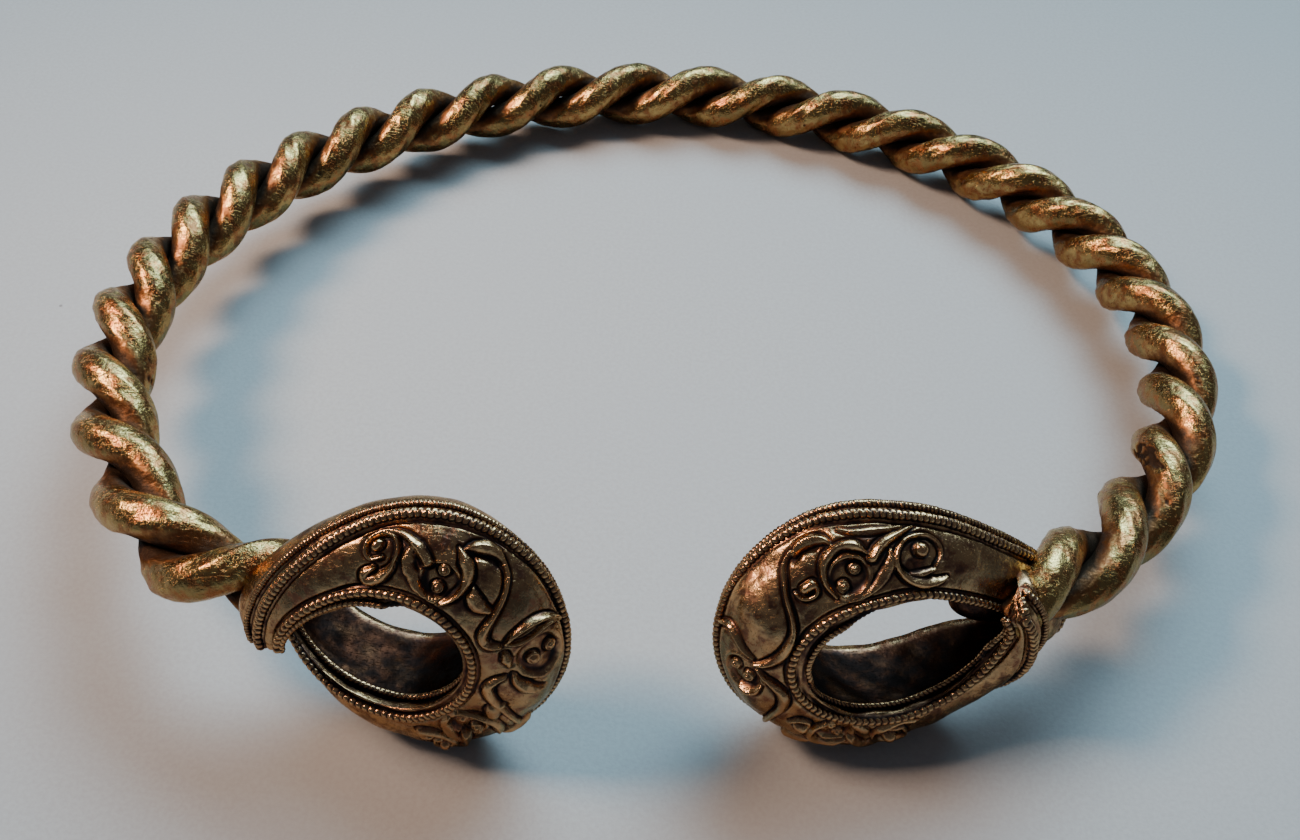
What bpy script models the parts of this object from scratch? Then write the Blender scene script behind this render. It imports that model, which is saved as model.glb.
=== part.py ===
"""Gold torc: two thick bars twisted together into an open neck ring, closed by two cast-on loop terminals.

The hoop is drawn flat in its own plane, as a slightly oval ring with a gap at the front, and is then
tipped the way the torc lies when it is put down: on the underside of the back of the hoop and on the
lower edge of each terminal. Lengths are in millimetres and are turned into metres at the very end.
"""

import math

import bmesh
import bpy
import numpy as np
from mathutils import Matrix, Vector

METRES = 0.001

# The hoop's centre line in plan, as a mean radius with three slow waves around it.
HOOP_RADIUS = 81.0
HOOP_OVAL = 6.1
HOOP_SKEW = 3.7
HOOP_THREE_LOBE = (0.8, -1.4)
BACK_ANGLE = math.pi / 2

# The twisted pair of bars.
ROPE_RADIUS = 6.45
BAR_GAP = 0.30
BAR_RADIUS = 3.30
BAR_SIDES = 8
BAR_FLAT_FROM = 133.0
HALF_TURN_LENGTH = 14.57
TWIST_AT_BACK = 2.33
TWIST_UNEVENNESS = 0.43
TWIST_UNEVENNESS_LENGTH = 190.0
BAR_STEPS_PER_TURN = 12
BAR_END = {"left": 203.5, "right": -201.0}
STRAIGHTENING_LENGTH = 32.0
END_TURNED_IN = {"left": 1.0, "right": 0.0}
END_LOOSENING = {"left": (0.0, 165.0), "right": (1.1, 165.0)}

# How the torc lies: the front is propped up by the terminals.
REST_TILT = math.radians(5.47)
REST_ROLL = math.radians(0.96)
REST_HEIGHT = 13.56
PLAN_SHIFT = (-0.48, -1.81)

# Gap between neighbouring solids, and where the bars end on each terminal's own axis.
CLEARANCE = 0.30
STUB_END = -20.5

LOOP_STATIONS = 40
SECTION_OUTER_POINTS = 15
SECTION_INNER_POINTS = 4
TIP_ROUNDING = math.radians(9)

GOLD = (0.62, 0.44, 0.17, 1.0)
AGED_GOLD = (0.50, 0.33, 0.12, 1.0)


class Tip:
    """How one arm of a loop tapers towards its tip.

    ends_at and taper are angles round the loop; widths are those in front of and behind the middle of
    the section at the tip; offset, shift and turn say how far the tip stands in front of the loop's
    plane, slides along it and turns outwards (between the turning angles, with the rear edge kept back
    by stiffness). inward and flare thicken the arm into the hole and widen it behind, each as an amount
    and the two angles between which it grows.
    """

    def __init__(self, ends_at, taper, thickness, widths, offset, shift, turn, **more):
        self.ends_at = math.radians(ends_at)
        self.taper_start, self.taper_end = (math.radians(v) for v in taper)
        self.thickness = thickness
        self.width_front, self.width_back = widths
        self.offset = offset
        self.shift = shift
        self.turn = math.radians(turn)
        turning = more.get("turning", (80.0, 190.0))
        self.turning_start, self.turning_end = (math.radians(v) for v in turning)
        self.stiffness = more.get("stiffness", 0.0)
        inward = more.get("inward", (0.0, 90.0, 165.0))
        flare = more.get("flare", (0.0, 90.0, 165.0))
        self.inward, self.inward_start, self.inward_end = inward[0], *(math.radians(v) for v in inward[1:])
        self.flare, self.flare_start, self.flare_end = flare[0], *(math.radians(v) for v in flare[1:])


class Collar:
    """The lump inside the crossing of a loop's arms, into which the bars are cast.

    reach is its length towards the gap and radii its half-sizes; its middle lies behind the loop's
    plane and below the loop's axis by the other two.
    """

    def __init__(self, reach, radii, behind, below):
        self.reach = reach
        self.radii = radii
        self.behind = behind
        self.below = below


class Loop:
    """Sizes and place of one loop terminal, in millimetres and degrees.

    The loop lies in a plane of its own: t runs from the hoop towards the gap, b across the hoop's plane
    and a outwards along the axis of the hole. The front arm passes over the bars' ends and the back arm
    behind them. The biases make the upper arm thicker or wider than the lower one.
    """

    def __init__(self, side, centre, yaw, pitch, roll, **sizes):
        self.side = side
        self.mirror = 1.0 if side == "left" else -1.0
        self.centre = np.array(centre)
        self.yaw, self.pitch, self.roll = (math.radians(v) for v in (yaw, pitch, roll))
        self.hole_far = sizes["hole_far"]
        self.hole_near = sizes["hole_near"]
        self.hole_half_height = sizes["hole_half_height"]
        self.hole_pinch = sizes["hole_pinch"]
        self.lean = sizes["lean"]
        self.thickness = sizes["thickness"]
        self.half_width = sizes["half_width"]
        self.thickness_bias = sizes["thickness_bias"]
        self.width_bias = sizes["width_bias"]
        self.ridge_forward = sizes["ridge_forward"]
        self.powers = sizes["powers"]
        self.front_tip = sizes["front_tip"]
        self.back_tip = sizes["back_tip"]
        self.collar = sizes["collar"]

    def frame(self):
        """Origin and the t, b and a directions of the loop, in the hoop's frame."""
        along = np.array([self.mirror * math.cos(self.yaw), -math.sin(self.yaw), 0.0])
        out = np.array([-self.mirror * math.sin(self.yaw), -math.cos(self.yaw), 0.0])
        up = np.array([0.0, 0.0, 1.0])
        axis = out * math.cos(self.pitch) + up * math.sin(self.pitch)
        rise = up * math.cos(self.pitch) - out * math.sin(self.pitch)
        t = along * math.cos(self.roll) + rise * math.sin(self.roll)
        b = rise * math.cos(self.roll) - along * math.sin(self.roll)
        return self.centre, t, b, axis


LOOPS = (
    Loop(
        "left", (-29.27, -69.16, 0.13), yaw=9.24, pitch=5.25, roll=-2.12,
        hole_far=9.0, hole_near=18.8, hole_half_height=9.7, hole_pinch=-0.13, lean=1.32,
        thickness=11.7, half_width=7.6, thickness_bias=-0.06, width_bias=0.03,
        ridge_forward=0.94, powers=(2.03, 2.07),
        front_tip=Tip(204, (77.8, 178.4), 1.67, (6.6, 4.0), 5.7, -0.94, 56.2),
        back_tip=Tip(185, (66.8, 162.9), 1.95, (5.9, 5.9), -5.7, 0.0, 2.2),
        collar=Collar(6.5, (4.6, 4.4), 1.0, 0.8),
    ),
    Loop(
        "right", (35.48, -62.46, -0.32), yaw=12.2, pitch=11.36, roll=-11.48,
        hole_far=13.78, hole_near=15.1, hole_half_height=11.04, hole_pinch=0.22, lean=0.86,
        thickness=10.42, half_width=7.64, thickness_bias=0.10, width_bias=0.04,
        ridge_forward=0.6, powers=(2.04, 2.15),
        front_tip=Tip(
            202, (74.0, 187.0), 3.2, (1.4, 5.0), 5.7, -0.1, 70.0,
            turning=(102.0, 175.0), stiffness=0.6, flare=(2.5, 92.0, 150.0),
        ),
        back_tip=Tip(
            205, (64.3, 171.8), 3.0, (5.6, 5.6), -3.0, -3.0, 0.0, inward=(4.5, 95.0, 175.0),
        ),
        collar=Collar(11.5, (4.6, 5.0), 3.0, 1.7),
    ),
)
INNER_WALL_HOLLOW = 0.10


def smooth(value, start, end):
    """Zero before start, one after end and an easy curve between them."""
    ratio = np.clip((value - start) / (end - start), 0.0, 1.0)
    return ratio * ratio * (3.0 - 2.0 * ratio)


def unit(vectors):
    return vectors / np.linalg.norm(vectors, axis=-1, keepdims=True)


def hoop_plan(angle):
    """A point of the oval centre line at an angle around the hoop."""
    radius = (
        HOOP_RADIUS
        + HOOP_OVAL * np.cos(2 * angle)
        + HOOP_SKEW * np.sin(2 * angle)
        + HOOP_THREE_LOBE[0] * np.cos(3 * angle)
        + HOOP_THREE_LOBE[1] * np.sin(3 * angle)
    )
    return np.stack([radius * np.cos(angle), radius * np.sin(angle), 0.0 * angle], axis=-1)


def hoop_axis(distance):
    """Centre line of the rope by its length from the back, easing onto each terminal's own joint."""
    angles = np.linspace(math.radians(-80), math.radians(260), 3401)
    steps = np.linalg.norm(np.diff(hoop_plan(angles), axis=0), axis=1)
    lengths = np.concatenate([[0.0], np.cumsum(steps)])
    lengths -= np.interp(BACK_ANGLE, angles, lengths)
    points = hoop_plan(np.interp(distance, lengths, angles))
    for loop in LOOPS:
        centre, t, _, _ = loop.frame()
        end = BAR_END[loop.side]
        beyond = np.abs(distance) - abs(end)
        joint = centre + t * STUB_END
        turned = joint + beyond[:, None] * t
        moved = points + joint - hoop_plan(np.interp([end], lengths, angles))
        share = END_TURNED_IN[loop.side]
        weight = smooth(distance * loop.mirror, abs(end) - STRAIGHTENING_LENGTH, abs(end))[:, None]
        points = points * (1 - weight) + (turned * share + moved * (1 - share)) * weight
    return points


def bar_stations():
    """Lengths along the rope at which the bars' sections stand."""
    length = BAR_END["left"] - BAR_END["right"]
    count = round(length / HALF_TURN_LENGTH * BAR_STEPS_PER_TURN / 2) + 1
    return np.linspace(BAR_END["right"], BAR_END["left"], count)


def bar_rings(which, distance, growth=0.0):
    """Section outlines along one bar, in planes square to the rope.

    Cut that way, a round bar that leans as it winds is wider than high and wraps round the rope's axis.
    The side towards its twin is flattened to half the gap from that axis. growth makes the whole section
    larger, for the room that a terminal leaves round it.
    """
    middle = hoop_axis(distance)
    tangent = unit(hoop_axis(distance + 0.5) - hoop_axis(distance - 0.5))
    outward = unit(np.cross(tangent, [0.0, 0.0, 1.0]))
    upward = np.cross(outward, tangent)
    wave = np.sin(2 * math.pi * distance / TWIST_UNEVENNESS_LENGTH)
    phase = TWIST_AT_BACK + which * math.pi + math.pi * distance / HALF_TURN_LENGTH - TWIST_UNEVENNESS * wave
    for loop in LOOPS:
        amount, begins = END_LOOSENING[loop.side]
        phase = phase - loop.mirror * amount * smooth(distance * loop.mirror, begins, abs(BAR_END[loop.side]))

    spread = ROPE_RADIUS - BAR_RADIUS
    twist = math.pi / HALF_TURN_LENGTH
    lean = math.atan(spread * twist)
    around = np.radians(np.linspace(-BAR_FLAT_FROM, BAR_FLAT_FROM, BAR_SIDES))
    corner = (BAR_RADIUS + growth) / math.sqrt(math.cos((around[1] - around[0]) / 2))
    radial = spread + corner * np.cos(around)
    sideways = corner * np.sin(around)
    angle = np.arctan2(sideways * math.cos(lean), radial) + twist * sideways * math.sin(lean)
    reach = np.hypot(sideways * math.cos(lean), radial)
    away = np.maximum(reach * np.cos(angle), BAR_GAP / 2 - growth)[None, :, None]
    across = (reach * np.sin(angle))[None, :, None]
    first = np.cos(phase)[:, None] * outward + np.sin(phase)[:, None] * upward
    second = np.cos(phase)[:, None] * upward - np.sin(phase)[:, None] * outward
    return middle[:, None, :] + away * first[:, None, :] + across * second[:, None, :]


def loop_arm(loop, angle):
    """Hole outline and section sizes of a loop; angle is 0 at the gap, positive over the upper arm."""
    upper_is_front = loop.mirror > 0
    front = (angle > 0) == upper_is_front
    turned = np.abs(angle)

    def pick(name):
        return np.where(front, getattr(loop.front_tip, name), getattr(loop.back_tip, name))

    def eased(name):
        return smooth(turned, pick(name + "_start"), pick(name + "_end"))

    full = 1 - eased("taper")

    def tapered(whole, name, bias):
        return (pick(name) + (whole - pick(name)) * full) * (1 + bias * np.sin(angle))

    reach = np.where(np.cos(angle) > 0, loop.hole_far, loop.hole_near)
    t = reach * np.cos(angle) + loop.lean * np.sin(angle)
    t = t + pick("shift") * smooth(turned, math.radians(110), math.radians(200))
    b = loop.hole_half_height * np.sin(angle) * (1 - loop.hole_pinch * (1 - np.cos(angle)) / 2)
    inward = pick("inward") * eased("inward")
    arm = {
        "t": t,
        "b": b - inward * np.sign(angle),
        "a": pick("offset") * smooth(turned, math.radians(95), math.radians(185)),
        "thickness": tapered(loop.thickness, "thickness", loop.thickness_bias) + inward,
        "front": tapered(loop.half_width, "width_front", loop.width_bias),
        "back": tapered(loop.half_width, "width_back", loop.width_bias) + pick("flare") * eased("flare"),
        "turn": pick("turn") * eased("turning"),
        "stiffness": pick("stiffness"),
    }
    return {name: value[:, None] for name, value in arm.items()}


def loop_rings(loop):
    """Section outlines around a loop, from the tip of the lower arm to the tip of the upper one.

    From the front edge of the hole a section rises over the decorated face to the ridge, comes down the
    plain back and returns along the slightly hollow inner wall.
    """
    upper, lower = loop.front_tip, loop.back_tip
    if loop.mirror < 0:
        upper, lower = lower, upper
    start, end = -lower.ends_at, upper.ends_at
    angle = np.linspace(start, end, LOOP_STATIONS)
    arm = loop_arm(loop, angle)
    step = 0.001
    after, before = loop_arm(loop, angle + step), loop_arm(loop, angle - step)
    length = np.hypot(after["t"] - before["t"], after["b"] - before["b"])
    out_t, out_b = (after["b"] - before["b"]) / length, -(after["t"] - before["t"]) / length

    front, back = arm["front"], arm["back"]
    sweep = np.linspace(0.0, math.pi, SECTION_OUTER_POINTS)[None, :]
    in_front = sweep <= math.pi / 2 + 1e-9
    power = np.where(in_front, 2 / loop.powers[0], 2 / loop.powers[1])
    rise = np.abs(np.sin(sweep)) ** power
    side = np.abs(np.cos(sweep)) ** power
    ridge = loop.ridge_forward * front / loop.half_width
    outer_a = np.where(in_front, ridge + (front - ridge) * side, ridge - (back + ridge) * side)
    outer_o = arm["thickness"] * rise
    across = np.linspace(0.0, 1.0, SECTION_INNER_POINTS + 2)[None, 1:-1]
    inner_a = -back + (front + back) * across
    inner_o = INNER_WALL_HOLLOW * (front + back) / 2 * (1 - (2 * across - 1) ** 2)
    section_a = np.concatenate([outer_a, inner_a], axis=1)
    section_o = np.concatenate([outer_o, inner_o], axis=1)

    to_tip = np.minimum(angle - start, end - angle)
    roundness = np.sqrt(np.clip(1 - (1 - np.clip(to_tip / TIP_ROUNDING, 0, 1)) ** 2, 0.04, 1))[:, None]
    middle_o, middle_a = 0.4 * arm["thickness"], (front - back) / 2
    section_o = middle_o + (section_o - middle_o) * roundness
    section_a = middle_a + (section_a - middle_a) * roundness
    rearward = np.clip((front - section_a) / (front + back), 0.0, 1.0)
    turn = arm["turn"] * (1 - arm["stiffness"] * rearward)
    turned_o = section_o * np.cos(turn) - section_a * np.sin(turn)
    turned_a = section_a * np.cos(turn) + section_o * np.sin(turn)

    centre, t_dir, b_dir, a_dir = loop.frame()
    in_t = arm["t"] + out_t * turned_o
    in_b = arm["b"] + out_b * turned_o
    in_a = arm["a"] + turned_a
    return centre + in_t[..., None] * t_dir + in_b[..., None] * b_dir + in_a[..., None] * a_dir


def tipped(vectors):
    """Turn directions of the hoop's frame into directions of the torc as it lies."""
    x, y, z = np.moveaxis(np.asarray(vectors, dtype=float), -1, 0)
    right = x * math.cos(REST_ROLL) + z * math.sin(REST_ROLL)
    rise = z * math.cos(REST_ROLL) - x * math.sin(REST_ROLL)
    back = y * math.cos(REST_TILT) + rise * math.sin(REST_TILT)
    high = rise * math.cos(REST_TILT) - y * math.sin(REST_TILT)
    return np.stack([right, back, high], axis=-1)


def lying(points):
    """Turn points of the hoop's frame into points of the torc as it lies, still in millimetres."""
    return tipped(points) + np.array([*PLAN_SHIFT, REST_HEIGHT])


def new_collection(name):
    collection = bpy.data.collections.new(name)
    bpy.context.scene.collection.children.link(collection)
    return collection


def metal(name, colour, roughness):
    material = bpy.data.materials.new(name)
    material.use_nodes = True
    shader = material.node_tree.nodes["Principled BSDF"]
    shader.inputs["Base Color"].default_value = colour
    shader.inputs["Metallic"].default_value = 1.0
    shader.inputs["Roughness"].default_value = roughness
    return material


def add_object(name, mesh, collection, material=None):
    thing = bpy.data.objects.new(name, mesh)
    collection.objects.link(thing)
    if material is not None:
        mesh.materials.append(material)
    return thing


def as_cutter(thing):
    thing.hide_render = True
    thing.display_type = "WIRE"
    return thing


def loft(name, rings, collection, material=None):
    """A closed skin over a row of section outlines with a flat cap at each end.

    Each four-sided patch is split along its shorter diagonal, which keeps the flats of the twisted bars
    hollow and so clear of each other.
    """
    count = rings.shape[1]
    shape = bmesh.new()
    rows = [[shape.verts.new(Vector(point) * METRES) for point in ring] for ring in rings]
    for before, after in zip(rows, rows[1:]):
        for k in range(count):
            following = (k + 1) % count
            shape.faces.new((before[k], before[following], after[following], after[k]))
    shape.faces.new(rows[0])
    shape.faces.new(rows[-1])
    bmesh.ops.triangulate(shape, faces=shape.faces, quad_method="SHORT_EDGE")
    bmesh.ops.recalc_face_normals(shape, faces=shape.faces)
    mesh = bpy.data.meshes.new(name)
    shape.to_mesh(mesh)
    shape.free()
    return add_object(name, mesh, collection, material)


def floor_cutter(collection):
    """A block whose top is the surface the torc lies on."""
    shape = bmesh.new()
    size = 300.0 * METRES
    depth = 10.0 * METRES
    bmesh.ops.create_cube(shape, size=1.0)
    bmesh.ops.scale(shape, vec=(size, size, depth), verts=shape.verts)
    bmesh.ops.translate(shape, vec=(0.0, 0.0, -depth / 2), verts=shape.verts)
    mesh = bpy.data.meshes.new("lying_surface")
    shape.to_mesh(mesh)
    shape.free()
    return as_cutter(add_object("lying_surface", mesh, collection))


def collar_body(loop, collection):
    """The collar of a terminal: half an ellipsoid whose flat back meets the ends of the bars."""
    origin, t, b, a = loop.frame()
    collar = loop.collar
    middle = origin + t * (STUB_END + CLEARANCE) - a * collar.behind - b * collar.below
    place = Matrix(np.stack([tipped(b), tipped(a), tipped(t)], axis=1).tolist()).to_4x4()
    place.translation = Vector(lying(middle))
    shape = bmesh.new()
    bmesh.ops.create_uvsphere(shape, u_segments=20, v_segments=10, radius=1.0)
    size = (collar.radii[1], collar.radii[0], collar.reach)
    bmesh.ops.scale(shape, vec=size, verts=shape.verts)
    behind = [vert for vert in shape.verts if vert.co.z < -0.001]
    bmesh.ops.delete(shape, geom=behind, context="VERTS")
    bmesh.ops.holes_fill(shape, edges=shape.edges)
    bmesh.ops.transform(shape, matrix=Matrix.Scale(METRES, 4) @ place, verts=shape.verts)
    bmesh.ops.recalc_face_normals(shape, faces=shape.faces)
    mesh = bpy.data.meshes.new("collar_" + loop.side)
    shape.to_mesh(mesh)
    shape.free()
    return as_cutter(add_object("collar_" + loop.side, mesh, collection))


def boolean(thing, operation, other, self_crossing=False):
    modifier = thing.modifiers.new(operation.title() + "_" + other.name, "BOOLEAN")
    modifier.operation = operation
    modifier.solver = "EXACT"
    modifier.use_self = self_crossing
    modifier.object = other


def build_bars(parts, cutters, floor):
    """The two twisted bars, each flattened where it touches the surface it lies on."""
    gold = metal("bar_gold", GOLD, 0.30)
    for which, name in enumerate(("twisted_bar_a", "twisted_bar_b")):
        rings = lying(bar_rings(which, bar_stations()))
        bar = loft(name, rings, parts, gold)
        boolean(bar, "DIFFERENCE", floor)


def build_terminal(loop, parts, cutters, floor):
    """One loop terminal with its collar, cast around the ends of both bars."""
    gold = metal("terminal_gold_" + loop.side, AGED_GOLD, 0.34)
    terminal = loft("terminal_" + loop.side, lying(loop_rings(loop)), parts, gold)
    boolean(terminal, "UNION", collar_body(loop, cutters), self_crossing=True)
    end = BAR_END[loop.side]
    stations = bar_stations()
    stations = stations[np.abs(stations - end) < STRAIGHTENING_LENGTH]
    stations = np.sort(np.append(stations, end + loop.mirror * CLEARANCE))
    for which in (0, 1):
        rings = lying(bar_rings(which, stations, growth=CLEARANCE))
        socket = loft(f"socket_{loop.side}_{which}", rings, cutters)
        boolean(terminal, "DIFFERENCE", as_cutter(socket))
    boolean(terminal, "DIFFERENCE", floor)


def main():
    for thing in list(bpy.data.objects):
        bpy.data.objects.remove(thing)
    parts = new_collection("gold_torc")
    cutters = new_collection("cutters")
    floor = floor_cutter(cutters)
    build_bars(parts, cutters, floor)
    for loop in LOOPS:
        build_terminal(loop, parts, cutters, floor)


main()
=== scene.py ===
"""A gold torc lying on a pale table: two hammered bars twisted together and two ornamented loops.

All shapes are parametric surfaces worked out as whole arrays in millimetres, in the frame of the hoop,
and are tipped into the resting pose and turned into metres at the very end.

The hoop's plan is a ring whose radius is a mean plus waves of two and three lobes. Lengths along it
are measured from the back of the hoop, positive towards the left terminal.
"""

import logging
import math
from abc import ABC, abstractmethod
from dataclasses import dataclass, replace
from enum import Enum
from typing import Callable, Sequence

import bpy
import numpy as np
from mathutils import Matrix, Vector

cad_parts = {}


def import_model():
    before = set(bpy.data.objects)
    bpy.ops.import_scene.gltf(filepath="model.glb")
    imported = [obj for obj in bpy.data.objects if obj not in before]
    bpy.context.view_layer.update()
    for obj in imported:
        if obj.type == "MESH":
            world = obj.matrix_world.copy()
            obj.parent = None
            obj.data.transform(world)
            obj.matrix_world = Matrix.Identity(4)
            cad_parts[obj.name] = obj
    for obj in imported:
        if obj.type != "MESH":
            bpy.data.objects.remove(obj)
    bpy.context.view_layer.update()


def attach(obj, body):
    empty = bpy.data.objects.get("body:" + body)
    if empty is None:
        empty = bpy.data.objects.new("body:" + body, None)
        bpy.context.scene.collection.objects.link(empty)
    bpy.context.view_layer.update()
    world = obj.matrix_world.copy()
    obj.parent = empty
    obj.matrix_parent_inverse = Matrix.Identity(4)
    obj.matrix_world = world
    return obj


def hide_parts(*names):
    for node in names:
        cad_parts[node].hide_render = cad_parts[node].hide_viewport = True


LOG = logging.getLogger("torc")

MM = 0.001
"""Metres in a millimetre."""
FULL_TURN = 2 * math.pi


class Side(Enum):
    """Which terminal of the torc."""

    LEFT = "left"
    RIGHT = "right"

    @property
    def mirror(self) -> float:
        """Plus one on the left and minus one on the right."""
        return 1.0 if self is Side.LEFT else -1.0


@dataclass(frozen=True)
class RopeEnd:
    """How the rope of two bars meets one terminal.

    Attributes:
        distance: Length along the hoop, from the back, at which it meets the terminal.
        turned_in: Share of the terminal's own direction that it has taken on there.
        loosening: How far the twist falls behind near it, in radians.
        tuck: How far a bar reaches past it into the terminal.
    """

    distance: float
    turned_in: float
    loosening: float
    tuck: float


HOOP_RADIUS = 81.0
HOOP_OVAL = 6.1
HOOP_SKEW = 3.7
HOOP_THREE_LOBE = (0.8, -1.4)
"""Heights of the plan's waves: the even oval, the leaning one and the two of three lobes."""
BACK_ANGLE = math.pi / 2

ROPE_RADIUS = 6.45
BAR_RADIUS = 3.30
BAR_CLEARANCE = 0.01
"""Half the space left between the two bars where they press together."""
HALF_TURN_LENGTH = 14.57
TWIST_AT_BACK = 2.33
TWIST_UNEVENNESS = 0.43
TWIST_UNEVENNESS_LENGTH = 190.0
"""The twist runs ahead and behind by this many radians, once in this many millimetres."""

ROPE_ENDS = {
    Side.LEFT: RopeEnd(distance=203.5, turned_in=1.0, loosening=0.0, tuck=1.5),
    Side.RIGHT: RopeEnd(distance=-201.0, turned_in=0.0, loosening=1.1, tuck=6.5),
}
STRAIGHTENING_LENGTH = 32.0
LOOSENING_FROM = 165.0
STUB_END = -20.5
"""Where the rope ends in the frame of each terminal, along the loop."""

REST_TILT = math.radians(5.47)
REST_ROLL = math.radians(0.96)
REST_HEIGHT = 13.56
PLAN_SHIFT = (-0.48, -1.81)
WORN_AT = 0.02
"""Height above the table below which the torc is worn flat."""


# --------------------------------------------------------------------------------------------------
# Small helpers
# --------------------------------------------------------------------------------------------------


def smooth(value: np.ndarray, start: float, end: float) -> np.ndarray:
    """A soft step: with r the share of the way from start to end, r squared times (3 less 2 r).

    Args:
        value: Where the step is read.
        start: Where it begins to leave zero.
        end: Where it reaches one.

    Returns:
        Values between zero and one.
    """
    ratio = np.clip((value - start) / (end - start), 0.0, 1.0)
    return ratio * ratio * (3.0 - 2.0 * ratio)


def unit(vectors: np.ndarray) -> np.ndarray:
    """Vectors along the last axis, scaled to length one."""
    return vectors / np.maximum(np.linalg.norm(vectors, axis=-1, keepdims=True), 1e-12)


def bell(distance: np.ndarray, width: float) -> np.ndarray:
    """One at zero, falling off as the exponential of minus the square of distance over width."""
    return np.exp(-((distance / width) ** 2))


def mixed(first: np.ndarray, second: np.ndarray, share: np.ndarray) -> np.ndarray:
    """The first value where the share is zero and the second where it is one."""
    return first + (second - first) * share


def lengths_along(points: np.ndarray) -> np.ndarray:
    """Length of a broken line from its first point to each of its points."""
    return np.concatenate([[0.0], np.cumsum(np.linalg.norm(np.diff(points, axis=0), axis=1))])


def across_tangent(vectors: np.ndarray, tangent: np.ndarray) -> np.ndarray:
    """Unit vectors along the part of each vector that is square to its tangent."""
    return unit(vectors - tangent * np.sum(vectors * tangent, axis=1, keepdims=True))


def tube(
    centre: np.ndarray, first: np.ndarray, second: np.ndarray, radius: np.ndarray, around: np.ndarray
) -> np.ndarray:
    """Rings round a line: centre plus radius times (first times cosine plus second times sine).

    Args:
        centre: Centre of each ring, a row each.
        first: Direction of the angle zero in each ring.
        second: Direction a quarter turn further.
        radius: Radius in each ring at each angle.
        around: Angles round the rings, in radians.

    Returns:
        Array (rings, angles, 3).
    """
    to_first, to_second = radius * np.cos(around), radius * np.sin(around)
    return (
        centre[:, None, :]
        + to_first[..., None] * first[:, None, :]
        + to_second[..., None] * second[:, None, :]
    )


def wrapped(angle: np.ndarray) -> np.ndarray:
    """Angles brought into the half turn on either side of zero."""
    return (angle + math.pi) % FULL_TURN - math.pi


def tipped(vectors: np.ndarray) -> np.ndarray:
    """Directions of the hoop's frame as directions of the torc as it lies.

    They are turned by the roll about the line from front to back, then by the tilt about the line from
    left to right.

    Args:
        vectors: Array whose last axis holds x, y and z.

    Returns:
        An array of the same shape.
    """
    x, y, z = np.moveaxis(np.asarray(vectors, dtype=float), -1, 0)
    right = x * math.cos(REST_ROLL) + z * math.sin(REST_ROLL)
    rise = z * math.cos(REST_ROLL) - x * math.sin(REST_ROLL)
    back = y * math.cos(REST_TILT) + rise * math.sin(REST_TILT)
    high = rise * math.cos(REST_TILT) - y * math.sin(REST_TILT)
    return np.stack([right, back, high], axis=-1)


def lying(points: np.ndarray) -> np.ndarray:
    """Points of the hoop's frame as points of the torc as it lies, in millimetres."""
    return tipped(points) + np.array([*PLAN_SHIFT, REST_HEIGHT])


# --------------------------------------------------------------------------------------------------
# The loop terminals' own shape
# --------------------------------------------------------------------------------------------------


TIP_SHIFTS = (110.0, 200.0)
TIP_STANDS_OFF = (95.0, 185.0)
"""Degrees from the gap between which an arm slides along the loop, and leaves the loop's plane."""
TIP_ROUNDING = math.radians(9.0)
"""Length of the rounded tip of an arm."""
TIP_MIDDLE = 0.4
"""Where the middle of a tip lies in the thickness of its arm."""
WALL_FROM = 0.7
"""Position round the section at which the inner wall begins."""
ANGLE_STEP = 0.001
"""Step over which the outline's direction is measured, in radians."""


@dataclass(frozen=True)
class ArmEnd:
    """How one arm of a loop tapers towards its tip.

    Attributes:
        ends_at: Angle round the loop at which the arm ends, from the gap's side, in degrees.
        taper: Angles between which the section shrinks.
        thickness: Radial thickness at the tip, in millimetres.
        widths: Widths in front of and behind the middle of the section at the tip.
        offset: How far the tip stands in front of (or behind) the loop's plane.
        shift: How far the tip slides along the loop's length.
        turn: How far the section turns outwards at the tip, in degrees.
        turning: Angles between which the section turns, in degrees.
        stiffness: Share of that turn that the rear edge keeps out of.
        inward: How far the arm thickens into the hole, and the angles between which it does.
        flare: How far the arm widens behind, and the angles between which it does.
    """

    ends_at: float
    taper: tuple[float, float]
    thickness: float
    widths: tuple[float, float]
    offset: float
    shift: float
    turn: float
    turning: tuple[float, float] = (80.0, 190.0)
    stiffness: float = 0.0
    inward: tuple[float, float, float] = (0.0, 90.0, 165.0)
    flare: tuple[float, float, float] = (0.0, 90.0, 165.0)


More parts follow.
